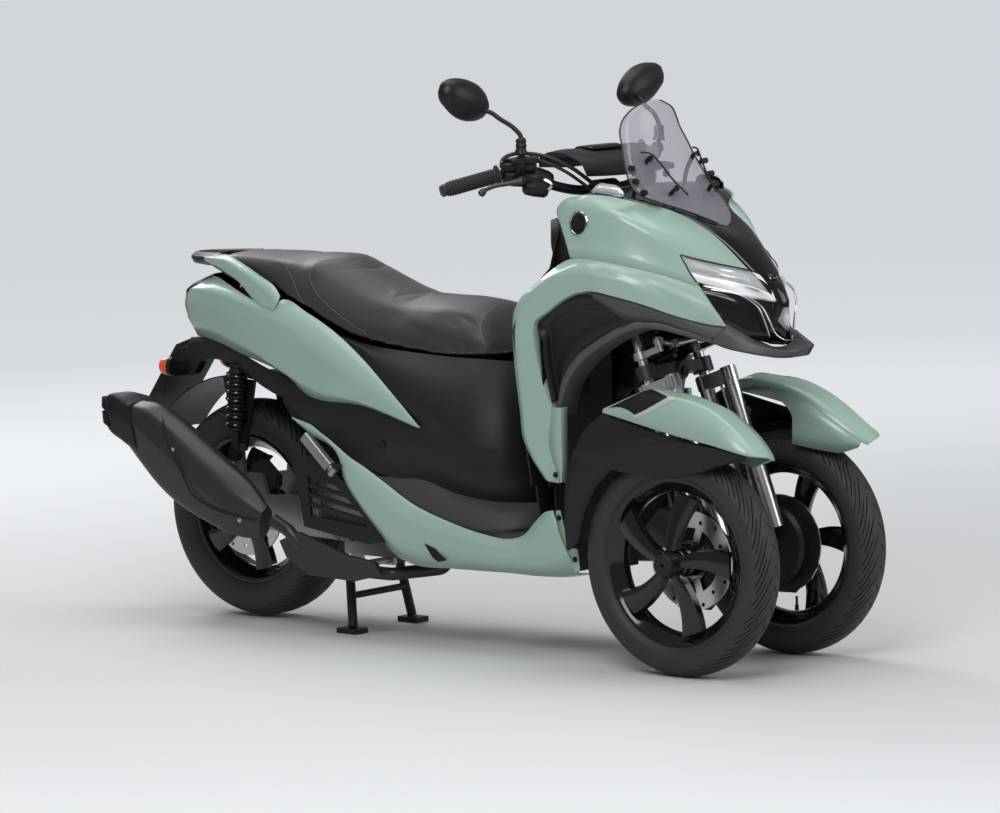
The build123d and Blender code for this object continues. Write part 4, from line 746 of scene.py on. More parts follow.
shell("tail_end_upper", TAIL_END[:3], [0.6], satin_black, None, outward=(-1, -0.2, 0), columns=30)
red_lens = finish("red_lens", (0.42, 0.010, 0.012), 0.10, coat=0.5, depth=0.0003, grain=180,
                  slot="amber_lens")
shell("tail_lamp_lens", [[(x + 2, y, z) for x, y, z in line] for line in TAIL_END[2:5]], [0.8], red_lens,
      ["tail_lamp"], outward=(-1, -0.2, 0), columns=30)
shell("tail_end_lower", TAIL_END[4:], [0.6], satin_black, None, outward=(-1, -0.2, 0), columns=30)

# Dark under-tail covers of grained plastic, clipped on below the cowls; their rear ends carry the
# indicators.
shell("under_tail_skin", [
    [(-796, 90, 662), (-740, 100, 662), (-689, 112, 656), (-600, 129, 634), (-500, 144, 604),
     (-436, 150, 589), (-369, 159, 554)],
    [(-818, 92, 620), (-790, 93, 622), (-745, 100, 640), (-660, 116, 628), (-570, 134, 600),
     (-480, 149, 566), (-410, 157, 550), (-371, 160, 550)],
    [(-828, 88, 577), (-806, 88, 569), (-767, 90, 604), (-735, 96, 612), (-613, 120, 596), (-521, 140, 560),
     (-458, 150, 543), (-374, 158, 547)],
    [(-822, 66, 577), (-800, 66, 571), (-764, 68, 606), (-734, 72, 614), (-613, 92, 598), (-521, 112, 562),
     (-458, 124, 545), (-376, 134, 549)]], [0.7, 0.15], grained_plastic, None, outward=(0, -1, 0))

# Black body side under the saddle: a fold runs down from the saddle's edge, the surface swings
# out over the sill and wraps round to the front, where the fuel and storage space ends.
FOLD = [(-262, 156, 686), (-193, 166, 669), (-89, 184, 600), (7, 196, 546), (90, 199, 500), (165, 188, 470),
        (214, 154, 455), (236, 100, 450), (242, 0, 448)]
WEDGE = [(-449, 157, 534), (-410, 168, 500), (-300, 188, 470), (-196, 197, 416), (-88, 199, 386),
         (0, 192, 384), (100, 180, 356), (190, 166, 344), (240, 128, 340), (262, 80, 338), (268, 0, 336)]
shell("side_cover_skin", [
    [(-271, 146, 694), (-187, 152, 678), (-60, 157, 668), (80, 157, 662), (160, 148, 660), (198, 120, 656),
     (216, 80, 652), (220, 0, 650)],
    FOLD,
    [(-449, 156, 542), (-369, 160, 552), (-178, 177, 538), (-6, 187, 506), (60, 194, 458), (130, 190, 425),
     (196, 170, 404), (232, 130, 394), (252, 80, 388), (258, 0, 386)],
    WEDGE], [0.12, 0.4], grained_plastic, ["side_covers"], outward=(0.3, -1, 0), columns=110)
mat_rubber = finish("mat_rubber", (0.040, 0.037, 0.038), 0.66, depth=0.0003, grain=420, slot="satin_black")
shell("floor_mat", [
    WEDGE[4:],
    [(-120, 199, 384), (-60, 199, 352), (20, 199, 325), (100, 199, 305), (190, 198, 288), (260, 180, 285),
     (290, 90, 285), (292, 0, 285)],
    [(-150, 198, 396), (-104, 199, 370), (-24, 200, 329), (80, 201, 296), (183, 201, 274), (270, 202, 268),
     (305, 204, 276), (330, 205, 296)]], [0.6], mat_rubber, None, outward=(0.2, -0.4, 1))

# Sills, body coloured plastic clipped to the frame's lower tubes: they rise from the belly, dip
# under the rider's feet and run back in a thin point behind the pillion peg.
SILL_TOP = [(-409, 170, 502), (-322, 182, 482), (-262, 190, 454), (-195, 196, 418), (-104, 200, 371),
            (-24, 202, 330), (80, 203, 297), (183, 203, 275), (270, 204, 269), (305, 206, 278),
            (350, 211, 316), (380, 214, 338), (402, 216, 343)]
SILL_SIDE = [(-408, 174, 500), (-320, 190, 472), (-246, 200, 432), (-205, 207, 368), (-150, 211, 312),
             (-90, 212, 268), (20, 213, 243), (120, 213, 234), (240, 213, 230), (330, 214, 240),
             (390, 217, 262), (426, 217, 276)]
SILL_LOW = [(-407, 172, 498), (-351, 180, 470), (-250, 194, 424), (-228, 199, 372), (-165, 204, 301),
            (-113, 204, 251), (-70, 201, 205), (-32, 198, 192), (88, 196, 189), (244, 196, 191),
            (398, 198, 194), (460, 200, 204)]
SILL = [SILL_TOP, SILL_SIDE, SILL_LOW]
shell("sill_skin", SILL, [0.85], mint_paint, ["sills"], outward=(0, -1, 0), columns=110)
shell("sill_belly",
      [[(-70, 200, 204), (-32, 197, 191), (88, 195, 188), (244, 195, 190), (398, 197, 193), (458, 198, 203)],
       [(-60, 150, 192), (-20, 150, 184), (88, 150, 182), (244, 150, 183), (398, 150, 186),
        (456, 150, 196)]],
      [], mint_paint, None, outward=(0, -0.1, -1), columns=60)

# Muffler: a black pressed body whose sides fold along a crease, with a separate plastic end cap
# that has two slots, and a dark line where the heat shield begins. The slots and the line are painted
# shade: near-black pieces put where there is only shade, in the openings and at the shield's edge.
def outward_tube(points, faces):
    """Faces of a closed mesh turned so that its volume comes out positive."""
    a, b, c, d = (points[faces[:, corner]] for corner in range(4))
    volume = (np.cross(b - a, c - a) * a).sum() + (np.cross(c - a, d - a) * a).sum()
    return (points, faces) if volume > 0 else (points, faces[:, ::-1])


def loop_skin(lines, softness, columns=72, steps=5):
    """Closed tube whose section joins the lines in turn, its corners cut as in skin. The last ring of
    each end is drawn together to a point."""
    rows = np.stack([evenly(line, columns) for line in lines])
    t = np.linspace(0, 1, steps)[:, None, None]
    rings = []
    for index in range(len(rows)):
        soft = softness[index] / 2
        before, after = rows[index - 1], rows[(index + 1) % len(rows)]
        start = rows[index] + (before - rows[index]) * soft
        end = rows[index] + (after - rows[index]) * soft
        rings.append((1 - t) ** 2 * start + 2 * t * (1 - t) * rows[index] + t ** 2 * end)
    points = np.concatenate(rings)
    first, last = points[:, :1].mean(axis=0), points[:, -1:].mean(axis=0)
    near = [points[:, :1] + (first - points[:, :1]) * share for share in (0.97, 0.05)]
    far = [points[:, -1:] + (last - points[:, -1:]) * share for share in (0.05, 0.97)]
    points = np.concatenate([*near, points, *far], axis=1)
    faces = grid_faces(points.shape[0], points.shape[1], True, False)
    return outward_tube(points.reshape(-1, 3) / 1000 * OTHER_SIDE, faces)


MUFFLER_LINES = [
    [(-866, 196, 522), (-816, 194, 518), (-742, 194, 487), (-623, 196, 418), (-505, 198, 342),
     (-465, 200, 296)],
    [(-884, 232, 512), (-816, 237, 500), (-742, 240, 462), (-640, 243, 395), (-530, 238, 318),
     (-468, 218, 280)],
    [(-893, 243, 490), (-820, 250, 456), (-742, 254, 408), (-650, 253, 343), (-550, 244, 282),
     (-474, 222, 252)],
    [(-900, 232, 440), (-850, 238, 394), (-756, 239, 312), (-640, 236, 255), (-550, 228, 226),
     (-482, 213, 224)],
    [(-892, 200, 404), (-850, 200, 366), (-756, 198, 290), (-626, 196, 236), (-534, 196, 212),
     (-486, 200, 212)],
    [(-846, 160, 420), (-820, 154, 392), (-756, 150, 316), (-640, 152, 262), (-540, 160, 240),
     (-482, 186, 226)],
    [(-834, 150, 470), (-800, 146, 450), (-742, 144, 406), (-650, 146, 344), (-550, 154, 286),
     (-474, 178, 252)],
    [(-842, 160, 504), (-800, 157, 496), (-742, 155, 464), (-640, 158, 398), (-530, 162, 322),
     (-468, 182, 280)]]
exhaust_black = finish("exhaust_black", (0.030, 0.030, 0.033), 0.38, metal=0.3, depth=0.00008, grain=900,
                       slot="satin_black")
fitting("muffler_body", [loop_skin(MUFFLER_LINES, [0.8, 0.5, 0.16, 0.5, 0.8, 0.6, 0.5, 0.6])],
        exhaust_black, mirrored=False, cad=["muffler"])
CAP_LINES = [
    [(-915, 198, 534), (-905, 197, 538), (-885, 197, 537), (-858, 197, 522)],
    [(-946, 226, 530), (-936, 234, 534), (-905, 240, 527), (-862, 243, 510)],
    [(-951, 231, 494), (-942, 240, 492), (-900, 248, 484), (-846, 252, 470)],
    [(-946, 226, 456), (-936, 234, 446), (-896, 240, 428), (-838, 244, 404)],
    [(-908, 198, 440), (-900, 198, 430), (-880, 198, 408), (-846, 198, 374)],
    [(-880, 168, 452), (-872, 162, 444), (-860, 154, 432), (-838, 150, 410)],
    [(-874, 160, 494), (-868, 153, 492), (-856, 147, 486), (-836, 143, 474)],
    [(-880, 170, 524), (-872, 164, 526), (-862, 156, 522), (-842, 153, 508)]]
fitting("muffler_end_cap", [loop_skin(CAP_LINES, [0.5, 0.5, 0.3, 0.5, 0.5, 0.5, 0.5, 0.5], 24)],
        grained_plastic, mirrored=False)
# Painted shade: a near-black, rough finish that stands for the shade inside openings and recesses.
hollow_dark = finish("hollow_dark", (0.004, 0.004, 0.004), 0.9, depth=0.0, slot="satin_black")


def plate(corners, thickness, side_y):
    """Flat plate seen from the side: corners as x and height in millimetres, outer face at side_y."""
    corners = np.array(corners, float)
    outer = np.column_stack([corners[:, 0], np.full(len(corners), -side_y), corners[:, 1]])
    inner = outer + np.array([0, thickness, 0])
    count = len(corners)
    points = np.concatenate([outer, inner, [outer.mean(axis=0)], [inner.mean(axis=0)]]) / 1000
    ring = np.arange(count)
    following = (ring + 1) % count
    wall = np.column_stack([ring, ring + count, following + count, following])
    hub = np.full(count, 2 * count)
    front = np.column_stack([ring, following, hub, hub])
    back = np.column_stack([following + count, ring + count, hub + 1, hub + 1])
    return outward_tube(points, np.concatenate([wall, front, back]))


SLOT_UPPER = [(-944, 528), (-921, 512), (-926, 487), (-946, 503)]
SLOT_LOWER = [(-945, 494), (-927, 478), (-926, 456), (-942, 466)]
shield_line = [(-740, -254, 492), (-734, -257, 462), (-722, -257.5, 430), (-694, -257.5, 388),
               (-672, -257, 348), (-655, -254, 318), (-610, -250, 292), (-540, -246, 274), (-478, -228, 262)]
# Painted shade: dark plates in the end cap's slots and a dark tube along the heat shield's edge.
fitting("muffler_slots", [plate(SLOT_UPPER, 16, 245), plate(SLOT_LOWER, 16, 245)], hollow_dark,
        mirrored=False)
fitting("heat_shield_line", [tube_along(shield_line, 2.0)], hollow_dark, mirrored=False)


# Grab rail, body coloured with a black rear crosspiece: from each side it arches over the tail
# cowl beside the passenger's place and ends on the cowl in a shallow hook.
RAIL_FOOT = [(-754, 72, 838), (-714, 82, 826), (-670, 93, 812), (-608, 110, 792), (-565, 126, 764),
             (-520, 138, 742), (-482, 142, 736)]
shell("grab_rail_side", [
    [(-752, 70, 853), (-714, 78, 858), (-677, 86, 860), (-618, 102, 845), (-549, 119, 821), (-482, 134, 792),
     (-466, 138, 776)],
    [(-756, 82, 852), (-714, 92, 851), (-677, 101, 849), (-618, 117, 832), (-549, 132, 806),
     (-488, 144, 772), (-470, 147, 757)],
    [(-756, 82, 844), (-714, 95, 838), (-682, 104, 828), (-612, 122, 802), (-569, 134, 777),
     (-517, 146, 752), (-478, 149, 744)],
    RAIL_FOOT],
    [0.35, 0.5], mint_paint, ["grab_rail"], outward=(0, -1, 0.6))
shell("grab_rail_hollow", [
    RAIL_FOOT,
    [(-752, 68, 850), (-714, 76, 852), (-677, 84, 852), (-618, 99, 838), (-549, 114, 812), (-486, 128, 780),
     (-470, 132, 768)]],
    [], satin_black, None, outward=(0, 1, -0.4))
shell("grab_rail_rear", [
    [(-700, 50, 856), (-752, 44, 855), (-800, 24, 853), (-812, 0, 853)],
    [(-704, 70, 863), (-752, 62, 862), (-826, 34, 860), (-840, 0, 860)],
    [(-722, 84, 853), (-770, 74, 850), (-836, 42, 848), (-852, 0, 848)],
    [(-730, 84, 842), (-768, 72, 838), (-826, 40, 832), (-840, 0, 832)],
    [(-712, 60, 838), (-752, 50, 832), (-790, 28, 826), (-800, 0, 826)]], [0.5, 0.4, 0.5], satin_black, None,
    outward=(-0.3, -0.2, 1), columns=40)

# Dark slot let into each sill's flank: a five-cornered recess in the painted plastic, made as a plate
# of painted shade that lies flush in it, standing in for the shade in the recess.
SLOT_CORNERS = [(22, 242), (52, 232), (80, 207), (62, 203), (46, 212)]
fitting("sill_slot", [plate(SLOT_CORNERS, 10, 212.5)], hollow_dark)


# Saddle: one long foam block under grained vinyl, a raised passenger place behind the rider's, held
# on the hinged pan. The cover is sewn from panels; the seams hold it down and it bulges between.
SADDLE_RING = [
    [(-745, 0, 857), (-700, 0, 864), (-601, 0, 868), (-463, 0, 876), (-400, 0, 881), (-356, 0, 878),
     (-310, 0, 864), (-255, 0, 840), (-195, 0, 810), (-123, 0, 790), (-61, 0, 789), (18, 0, 791),
     (70, 0, 785), (112, 0, 766), (145, 0, 738), (170, 0, 694)],
    [(-742, 48, 854), (-690, 72, 860), (-600, 88, 862), (-500, 98, 858), (-430, 102, 854), (-380, 106, 846),
     (-326, 110, 828), (-255, 112, 804), (-185, 112, 783), (-123, 110, 771), (-61, 110, 770), (18, 106, 772),
     (70, 98, 767), (110, 88, 752), (140, 76, 726), (164, 62, 692)],
    [(-743, 50, 848), (-690, 82, 848), (-600, 106, 844), (-500, 122, 826), (-430, 132, 802),
     (-380, 138, 788), (-326, 143, 768), (-255, 146, 742), (-185, 148, 724), (-123, 149, 716),
     (-61, 149, 716), (18, 148, 718), (70, 144, 718), (108, 132, 710), (142, 106, 700), (166, 66, 684)],
    [(-742, 48, 838), (-690, 80, 832), (-600, 102, 822), (-500, 122, 798), (-460, 131, 781),
     (-378, 142, 752), (-280, 147, 712), (-240, 149, 698), (-184, 150, 688), (-50, 150, 672), (79, 147, 664),
     (136, 120, 664), (160, 90, 664), (168, 64, 668)],
    [(-740, 0, 838), (-690, 0, 832), (-600, 0, 822), (-500, 0, 800), (-378, 0, 764), (-280, 0, 724),
     (-184, 0, 704), (-50, 0, 682), (79, 0, 676), (140, 0, 674), (170, 0, 676)]]
SADDLE_SEAMS = [
    [(-671, 0, 868), (-668, 50, 864), (-658, 72, 861), (-565, 88, 860), (-492, 102, 850), (-448, 120, 824),
     (-410, 136, 782), (-392, 140, 760)],
    [(-330, 0, 860), (-350, 40, 858), (-374, 62, 856), (-392, 92, 848), (-392, 114, 828), (-358, 134, 790),
     (-305, 143, 756), (-244, 148, 724), (-190, 150, 700)],
    [(92, 0, 770), (100, 50, 763), (107, 84, 750), (116, 112, 726), (130, 118, 700), (138, 116, 682)]]


def saddle_form():
    """Closed form joined through the ring of lines: the right half in order, the left mirrored."""
    right_half = [np.array(line, float) for line in SADDLE_RING]
    left_half = [line * OTHER_SIDE for line in right_half[1:4]][::-1]
    ring = right_half + left_half
    corner = [0.9, 0.5, 0.6, 0.10, 0.6, 0.10, 0.6, 0.5]
    return loop_skin(ring, corner, 120, 6)


def both_sides(line, count):
    """A line in millimetres on the left side and its mirror image, as rows of even points in metres."""
    line = np.array(line, float)
    return [evenly(side, count) / 1000 for side in (line * OTHER_SIDE, line)]


def modified(piece):
    """The piece's mesh as its modifiers leave it; the modifiers go."""
    made = bpy.data.meshes.new_from_object(piece.evaluated_get(bpy.context.evaluated_depsgraph_get()))
    piece.modifiers.clear()
    return made


def vertex_rows(mesh, what):
    """One row of three numbers for each vertex: its place, co, or its normal."""
    values = np.empty(len(mesh.vertices) * 3)
    mesh.vertices.foreach_get(what, values)
    return values.reshape(-1, 3)


SWELL = 0.010
SUNK_SHARE = 0.6
HELD_NEAR = 0.012
EVEN_SIZE = 0.0065
CLOTH_FRAMES = 20
saddle_piece = smooth_mesh("saddle_cushion", *saddle_form(), saddle_cover, 60)
evener = saddle_piece.modifiers.new("even", "REMESH")
evener.mode = "VOXEL"
evener.voxel_size = EVEN_SIZE
bpy.context.view_layer.update()
even = modified(saddle_piece)
saddle_piece.data = even
resting, outwards = vertex_rows(even, "co"), vertex_rows(even, "normal")
seam_rows = [row for seam in SADDLE_SEAMS for row in both_sides(seam, 90)]
to_seam = np.min([np.linalg.norm(resting[:, None] - row[None], axis=2).min(axis=1) for row in seam_rows],
                 axis=0)
hem = np.concatenate(both_sides(SADDLE_RING[3], 200))
to_hem = np.linalg.norm(resting[:, None] - hem[None], axis=2).min(axis=1)
underside = outwards[:, 2] < -0.4
held = np.clip(1 - np.minimum(to_seam, to_hem) / HELD_NEAR, 0, 1)
held[underside] = 1
start = resting - outwards * (SWELL * SUNK_SHARE * np.clip(to_seam / 0.05, 0, 1) * ~underside)[:, None]
even.vertices.foreach_set("co", start.ravel())
pins = saddle_piece.vertex_groups.new(name="held")
for level in np.unique(np.round(held, 1)):
    if level > 0:
        pins.add(np.nonzero(np.round(held, 1) == level)[0].tolist(), float(level), "REPLACE")
cloth = saddle_piece.modifiers.new("cover", "CLOTH")
for setting, value in {"quality": 4, "use_pressure": True, "uniform_pressure_force": 4.0,
                       "tension_stiffness": 20, "compression_stiffness": 20, "bending_stiffness": 2,
                       "vertex_group_mass": "held"}.items():
    setattr(cloth.settings, setting, value)
cloth.settings.effector_weights.gravity = 0
cloth.collision_settings.use_collision = False
for step in range(CLOTH_FRAMES):
    bpy.context.scene.frame_set(step + 1)
swollen = modified(saddle_piece)
bpy.context.scene.frame_set(1)
moved = vertex_rows(swollen, "co") - start
how_far = np.linalg.norm(moved, axis=1)[:, None]
limit = (SWELL * np.clip(to_seam / 0.04, 0.1, 1))[:, None]
after = start + moved * np.minimum(1, limit / np.maximum(how_far, 1e-9))
swollen.vertices.foreach_set("co", after.ravel())
swollen.shade_smooth()
swollen.materials.clear()
swollen.materials.append(saddle_cover)
saddle_piece.data = swollen
finer = saddle_piece.modifiers.new("finer", "SUBSURF")
finer.levels = 1
finer.render_levels = 1
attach(saddle_piece, "saddle_lid")
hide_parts("saddle")


def surface_tree(mesh):
    """Search tree of a mesh's faces."""
    return BVHTree.FromPolygons([tuple(vertex.co) for vertex in mesh.vertices],
                                [tuple(face.vertices) for face in mesh.polygons])


# Seams: a row of pale thread stitches along each join of the cover, through the vinyl and laid on
# its swollen surface.
cover_tree = surface_tree(swollen)
thread = finish("thread", (0.20, 0.20, 0.21), 0.7, depth=0.0001, grain=2500, slot="saddle_cover")
STITCH = 6.5


def stitches(row):
    """Short bars along a row of points in metres laid on the cover, two thirds bar and one third gap."""
    laid = np.array([tuple(cover_tree.find_nearest(tuple(point))[0]) for point in row]) * 1000
    length = np.linalg.norm(np.diff(laid, axis=0), axis=1).sum()
    fine = evenly([tuple(point) for point in laid], int(length / STITCH) * 6 + 1)
    return [tube_along(fine[first:first + 5], 0.75, 5, 6) for first in range(0, len(fine) - 5, 6)]


stitch_parts = [bar for row in seam_rows for bar in stitches(row)]
fitting("saddle_stitches", stitch_parts, thread, body="saddle_lid", mirrored=False)


# Beak: a grey moulding under the lamps, split down the middle, whose ends run back beneath the
# body band. Its lower face turns under.
BEAK = [
    [(781, 114, 731), (801, 108, 753), (809, 104, 764), (825, 94, 755), (845, 83, 742), (858, 39, 722),
     (878, 25, 712), (911, 10, 720), (924, 3, 744), (898, 0, 752)],
    [(780, 117, 727), (798, 115, 744), (838, 98, 730), (898, 65, 712), (932, 20, 704), (967, 4, 718),
     (937, 0, 712)],
    [(780, 116, 722), (799, 112, 714), (855, 98, 702), (901, 65, 693), (922, 20, 690), (953, 4, 694),
     (932, 0, 693)],
    [(787, 99, 716), (825, 83, 706), (868, 65, 696), (888, 24, 687), (916, 12, 688), (915, 0, 688)]]
shell("beak_skin", BEAK, [0.25, 0.7], grey_plastic, ["chin"], outward=(1, -0.6, 0.2), columns=70)
fitting("beak_split", [tube_along([(937.5, 0, 712), (919, 0, 735), (898, 0, 754)], 0.9)], satin_black,
        mirrored=False)

# Headlights: a silver reflector under a clear lens, a white light bar along the lower edge that
# turns up beside the nose, and a small lamp in the middle.
opal = finish("opal_bar", (0.80, 0.82, 0.84), 0.18, coat=0.4, depth=0.00002, slot="clear_lens")
silvered = finish("silvered", (0.55, 0.56, 0.58), 0.16, metal=1.0, depth=0.00005, grain=300,
                  slot="bare_steel")
LENS_TOP = [(719, 140, 913), (751, 119, 902), (785, 91, 891), (814, 68, 883), (834, 48, 876)]
LENS_LOW = [(736, 132, 876), (765, 117, 867), (808, 92, 858), (847, 65, 844), (870, 29, 829)]
BAR_LOW = [(749, 128, 856), (786, 107, 843), (833, 81, 825), (861, 38, 813), (884, 25, 809)]
shell("headlight_lens",
      [LENS_TOP, [(728, 138, 895), (763, 118, 886), (802, 91, 875), (833, 67, 864), (855, 38, 854)],
       LENS_LOW], [1.0], clear_lens, None, outward=(1, -0.8, 0), wall=0.002)
shell("headlight_reflector", [
    [(715, 136, 909), (746, 112, 897), (772, 83, 885), (801, 62, 879), (823, 44, 871)],
    [(712, 133, 888), (739, 110, 879), (766, 81, 867), (799, 60, 859), (830, 39, 850)],
    [(735, 132, 876), (764, 116, 866), (807, 91, 857), (846, 64, 843), (869, 29, 828)]],
    [0.9], silvered, None, outward=(1, -0.8, 0))
shell("light_bar",
      [LENS_LOW, [(744, 130, 866), (778, 112, 856), (824, 86, 842), (853, 45, 829), (879, 26, 819)],
       BAR_LOW], [0.9], opal, None, outward=(1, -0.8, 0))
shell("light_bar_riser", [[(838, 47, 875), (851, 37, 855), (865, 30, 832), (885, 24, 811)],
                          [(852, 36, 867), (864, 28, 849), (876, 24, 830), (886, 24, 810)]],
      [], opal, None, outward=(1, -0.5, 0), columns=16, wall=0.004)
fitting("headlight_rim",
        [tube_along([(715, 142, 915), (751, 121, 904), (786, 92, 893), (815, 69, 885), (837, 48, 877)], 1.6),
         tube_along([(715, 142, 915), (728, 137, 891), (739, 133, 870), (750, 128, 854)], 1.6)], satin_black)
shell("centre_lamp", [[(878, 18, 788), (893, 8, 785), (897.5, 0, 785)],
                      [(884, 17, 771), (896, 8, 768), (900, 0, 768)],
                      [(884, 14, 754), (896, 7, 750), (900, 0, 750)]], [0.5], silvered, None,
      outward=(1, -0.2, 0), columns=16, wall=0.004)
shell("centre_lamp_lens", [[(880, 20, 797), (895, 9, 796), (899, 0, 796)],
                           [(887, 19, 771), (899, 9, 770), (903, 0, 770)],
                           [(884, 17, 741), (897, 8, 738), (903, 0, 738)]], [0.8], clear_lens, None,
      outward=(1, -0.2, 0), columns=16, wall=0.002)

# Blank round badge with a silver ring, pressed into the flank of the side cowl behind the headlight.
# It lies where a line from the side, at this x and height in metres, meets the flank.
BADGE_X, BADGE_Z = 0.493, 0.981
flank_tree = surface_tree(bpy.data.objects["side_cowl_flank"].data)
hit, hit_normal, _, _ = flank_tree.ray_cast((BADGE_X, -0.40, BADGE_Z), (0, 1, 0))


def disc_on(centre, normal, profile, sides=48):
    """Turned disc: rings of the profile's (radius, height) in millimetres about the normal."""
    normal = np.array(normal) / np.linalg.norm(normal)
    first = np.cross(normal, (0, 0, 1))
    first /= np.linalg.norm(first)
    second = np.cross(normal, first)
    turn = np.linspace(0, 2 * np.pi, sides, endpoint=False)[None, :, None]
    profile = np.array(profile, float) / 1000
    points = (np.array(centre) + profile[:, 1, None, None] * normal
              + profile[:, 0, None, None] * (np.cos(turn) * first + np.sin(turn) * second))
    return outward_tube(points.reshape(-1, 3), grid_faces(len(profile), sides, False, True))


fitting("badge_ring",
        [disc_on(hit, hit_normal,
                 [(21, -4), (27, -4), (27.5, 2.0), (26, 3.2), (23.5, 3.2), (22.5, 2.0), (21, -4)])],
        silvered)
fitting("badge_disc", [disc_on(hit, hit_normal, [(0.01, -4), (23, -4), (23, 1.6), (20, 2.2), (0.01, 2.6)])],
        gloss_black)

# Front indicators: a slim clear lens on the black edge in front of the dash, with a silvered
# hood behind it. Rear indicators: oval orange lenses on short black stalks.
shell("front_indicator_lens", [
    [(514, 182, 1056), (522, 180, 1066), (550, 182, 1067), (580, 180, 1061), (588, 178, 1054)],
    [(508, 190, 1050), (522, 194, 1060), (550, 194, 1060), (582, 188, 1054), (594, 182, 1048)],
    [(514, 186, 1044), (522, 190, 1048), (550, 190, 1049), (580, 186, 1045), (588, 180, 1042)]],
    [0.6], clear_lens, None, outward=(0.2, -1, 0.4), columns=24, wall=0.002)
shell("front_indicator_base", [
    [(512, 178, 1055), (522, 176, 1062), (550, 178, 1063), (580, 176, 1058), (588, 174, 1052)],
    [(508, 184, 1050), (522, 187, 1056), (550, 187, 1056), (582, 182, 1051), (592, 178, 1046)],
    [(506, 184, 1040), (522, 188, 1038), (550, 188, 1038), (580, 184, 1036), (590, 178, 1036)]],
    [0.6], silvered, None, outward=(0.2, -1, 0.4), columns=24, wall=0.002)
BULB = [(0.01, 26), (8, 25), (14, 22), (18, 16), (20.5, 8), (21, 0), (19, -6), (0.01, -8)]


def oval(centre, axis, profile, flatten):
    """Turned disc squeezed from side to side by the share given."""
    points, faces = disc_on(centre, axis, profile, 40)
    return (points - centre) * np.array([1, flatten, 1]) + centre, faces


rear_indicator_at = np.array([-0.858, 0.104, 0.590])
fitting("rear_indicator_lens", [oval(rear_indicator_at, (-1, 0.25, 0), BULB, 0.82)], amber_lens,
        cad=["indicators"])
fitting("rear_indicator_stalk",
        [tube_along([(-852, 102, 590), (-838, 98, 586), (-812, 88, 588)], [17, 15, 11] * 16, 48, 20),
         oval(rear_indicator_at + (0.004, 0, 0), (-1, 0.25, 0),
              [(0.01, -8), (22, -7), (22.5, 2), (20, 4)], 0.84)], satin_black)


# Windscreen: a curved smoked sheet with rounded corners, its foot tucked behind the nose. A black
# bracket line and two screws each side hold it; black lugs stand behind its edge.
screen_clear = finish("screen_clear", (0.30, 0.30, 0.34), 0.04, alpha=0.38, depth=0.0, drift=0.02,
                      slot="smoked_screen")
SCREEN_EDGE = [(537, 20, 1239), (533, 42, 1233), (529, 78, 1217), (524, 96, 1198), (525, 106, 1176),
               (536, 114, 1149), (550, 124, 1113), (568, 134, 1077), (584, 137, 1053), (605, 130, 1039),
               (640, 108, 1022), (676, 80, 1007), (712, 48, 988), (731, 22, 974)]
SCREEN_MID = [(539, 10, 1240), (541, 30, 1232), (545, 54, 1212), (550, 66, 1190), (556, 73, 1168),
              (566, 78, 1143), (582, 83, 1106), (602, 85, 1070), (620, 82, 1048), (640, 74, 1033),
              (664, 60, 1018), (690, 44, 1003), (718, 26, 985), (734, 12, 973)]
SCREEN_CENTRE = [(542, 0, 1242), (547, 0, 1232), (556, 0, 1210), (565, 0, 1188), (573, 0, 1166),
                 (584, 0, 1139), (601, 0, 1102), (622, 0, 1066), (639, 0, 1044), (656, 0, 1028),
                 (678, 0, 1013), (702, 0, 998), (724, 0, 981), (738, 0, 969)]
shell("windscreen_sheet", [SCREEN_EDGE, SCREEN_MID, SCREEN_CENTRE], [0.9], screen_clear, ["windscreen"],
      outward=(1, -0.2, 0.4), columns=60, wall=0.003)
fitting("windscreen_edge", [tube_along(SCREEN_EDGE, 1.7, 70, 8)], satin_black)
fitting("windscreen_bracket",
        [tube_along([(570, 92, 1131), (592, 83, 1128), (606, 75, 1112), (634, 63, 1074), (670, 50, 1036)],
                    2.2),
         tube_along([(586, 80, 1120), (560, 84, 1080), (545, 92, 1044)], 5.0),
         tube_along([(645, 64, 1052), (625, 70, 1030), (610, 76, 1012)], 5.0)], satin_black)
SCREW = [(0.01, -4), (6.5, -4), (6.5, 1.5), (5.2, 3.0), (2.4, 3.2), (2.2, 1.6), (0.01, 1.6)]
fitting("windscreen_screws", [disc_on(np.array(place) / 1000, (0.75, -0.45, 0.5), SCREW, 24)
                              for place in ((592, -84, 1118), (650, -66, 1053))], satin_black)
LUG = [(0.01, -9), (5.5, -9), (6.5, -7), (6.5, 7), (5.5, 9), (0.01, 9)]
fitting("windscreen_lugs", [disc_on(np.array(place) / 1000, (0.3, -1, 0.1), LUG, 20)
                            for place in ((574, -128, 1098), (588, -132, 1070), (606, -126, 1046))],
        satin_black)


# Mirrors: oval black shells domed to the front, with glass to the rear, each on a bent stem that
# stands in a rubber boot on the bar.
MIRROR_AT = (250, 310, 1252)
MIRROR_OUTLINE = [(76, 22), (66, 41), (31, 49), (-8, 44), (-46, 27), (-70, 1), (-76, -21), (-59, -41),
                  (-21, -49), (21, -38), (55, -14), (75, 8), (76, 22)]


def mirror_shell(steps):
    """Rings of the outline, each (share, forward) in turn: share of its size, forward in millimetres."""
    rim = evenly([(0, y, z) for y, z in MIRROR_OUTLINE], 49)[:-1]
    rings = [rim * share + np.array([forward, 0, 0]) for share, forward in steps]
    points = (np.concatenate(rings) + MIRROR_AT) / 1000 * OTHER_SIDE
    return outward_tube(points, grid_faces(len(steps), len(rim), False, True))


fitting("mirror_shells",
        [mirror_shell([(0.01, -6), (0.90, -6), (0.93, -9), (0.98, -8), (1.0, -3), (0.99, 6), (0.93, 15),
                       (0.80, 23), (0.60, 29), (0.35, 33), (0.15, 34.5), (0.01, 35)])],
        satin_black, body="steering", cad=["mirrors"])
fitting("mirror_glass", [mirror_shell([(0.01, -6.2), (0.91, -6.2), (0.91, -7.0), (0.01, -7.4)])], chromed,
        body="steering")


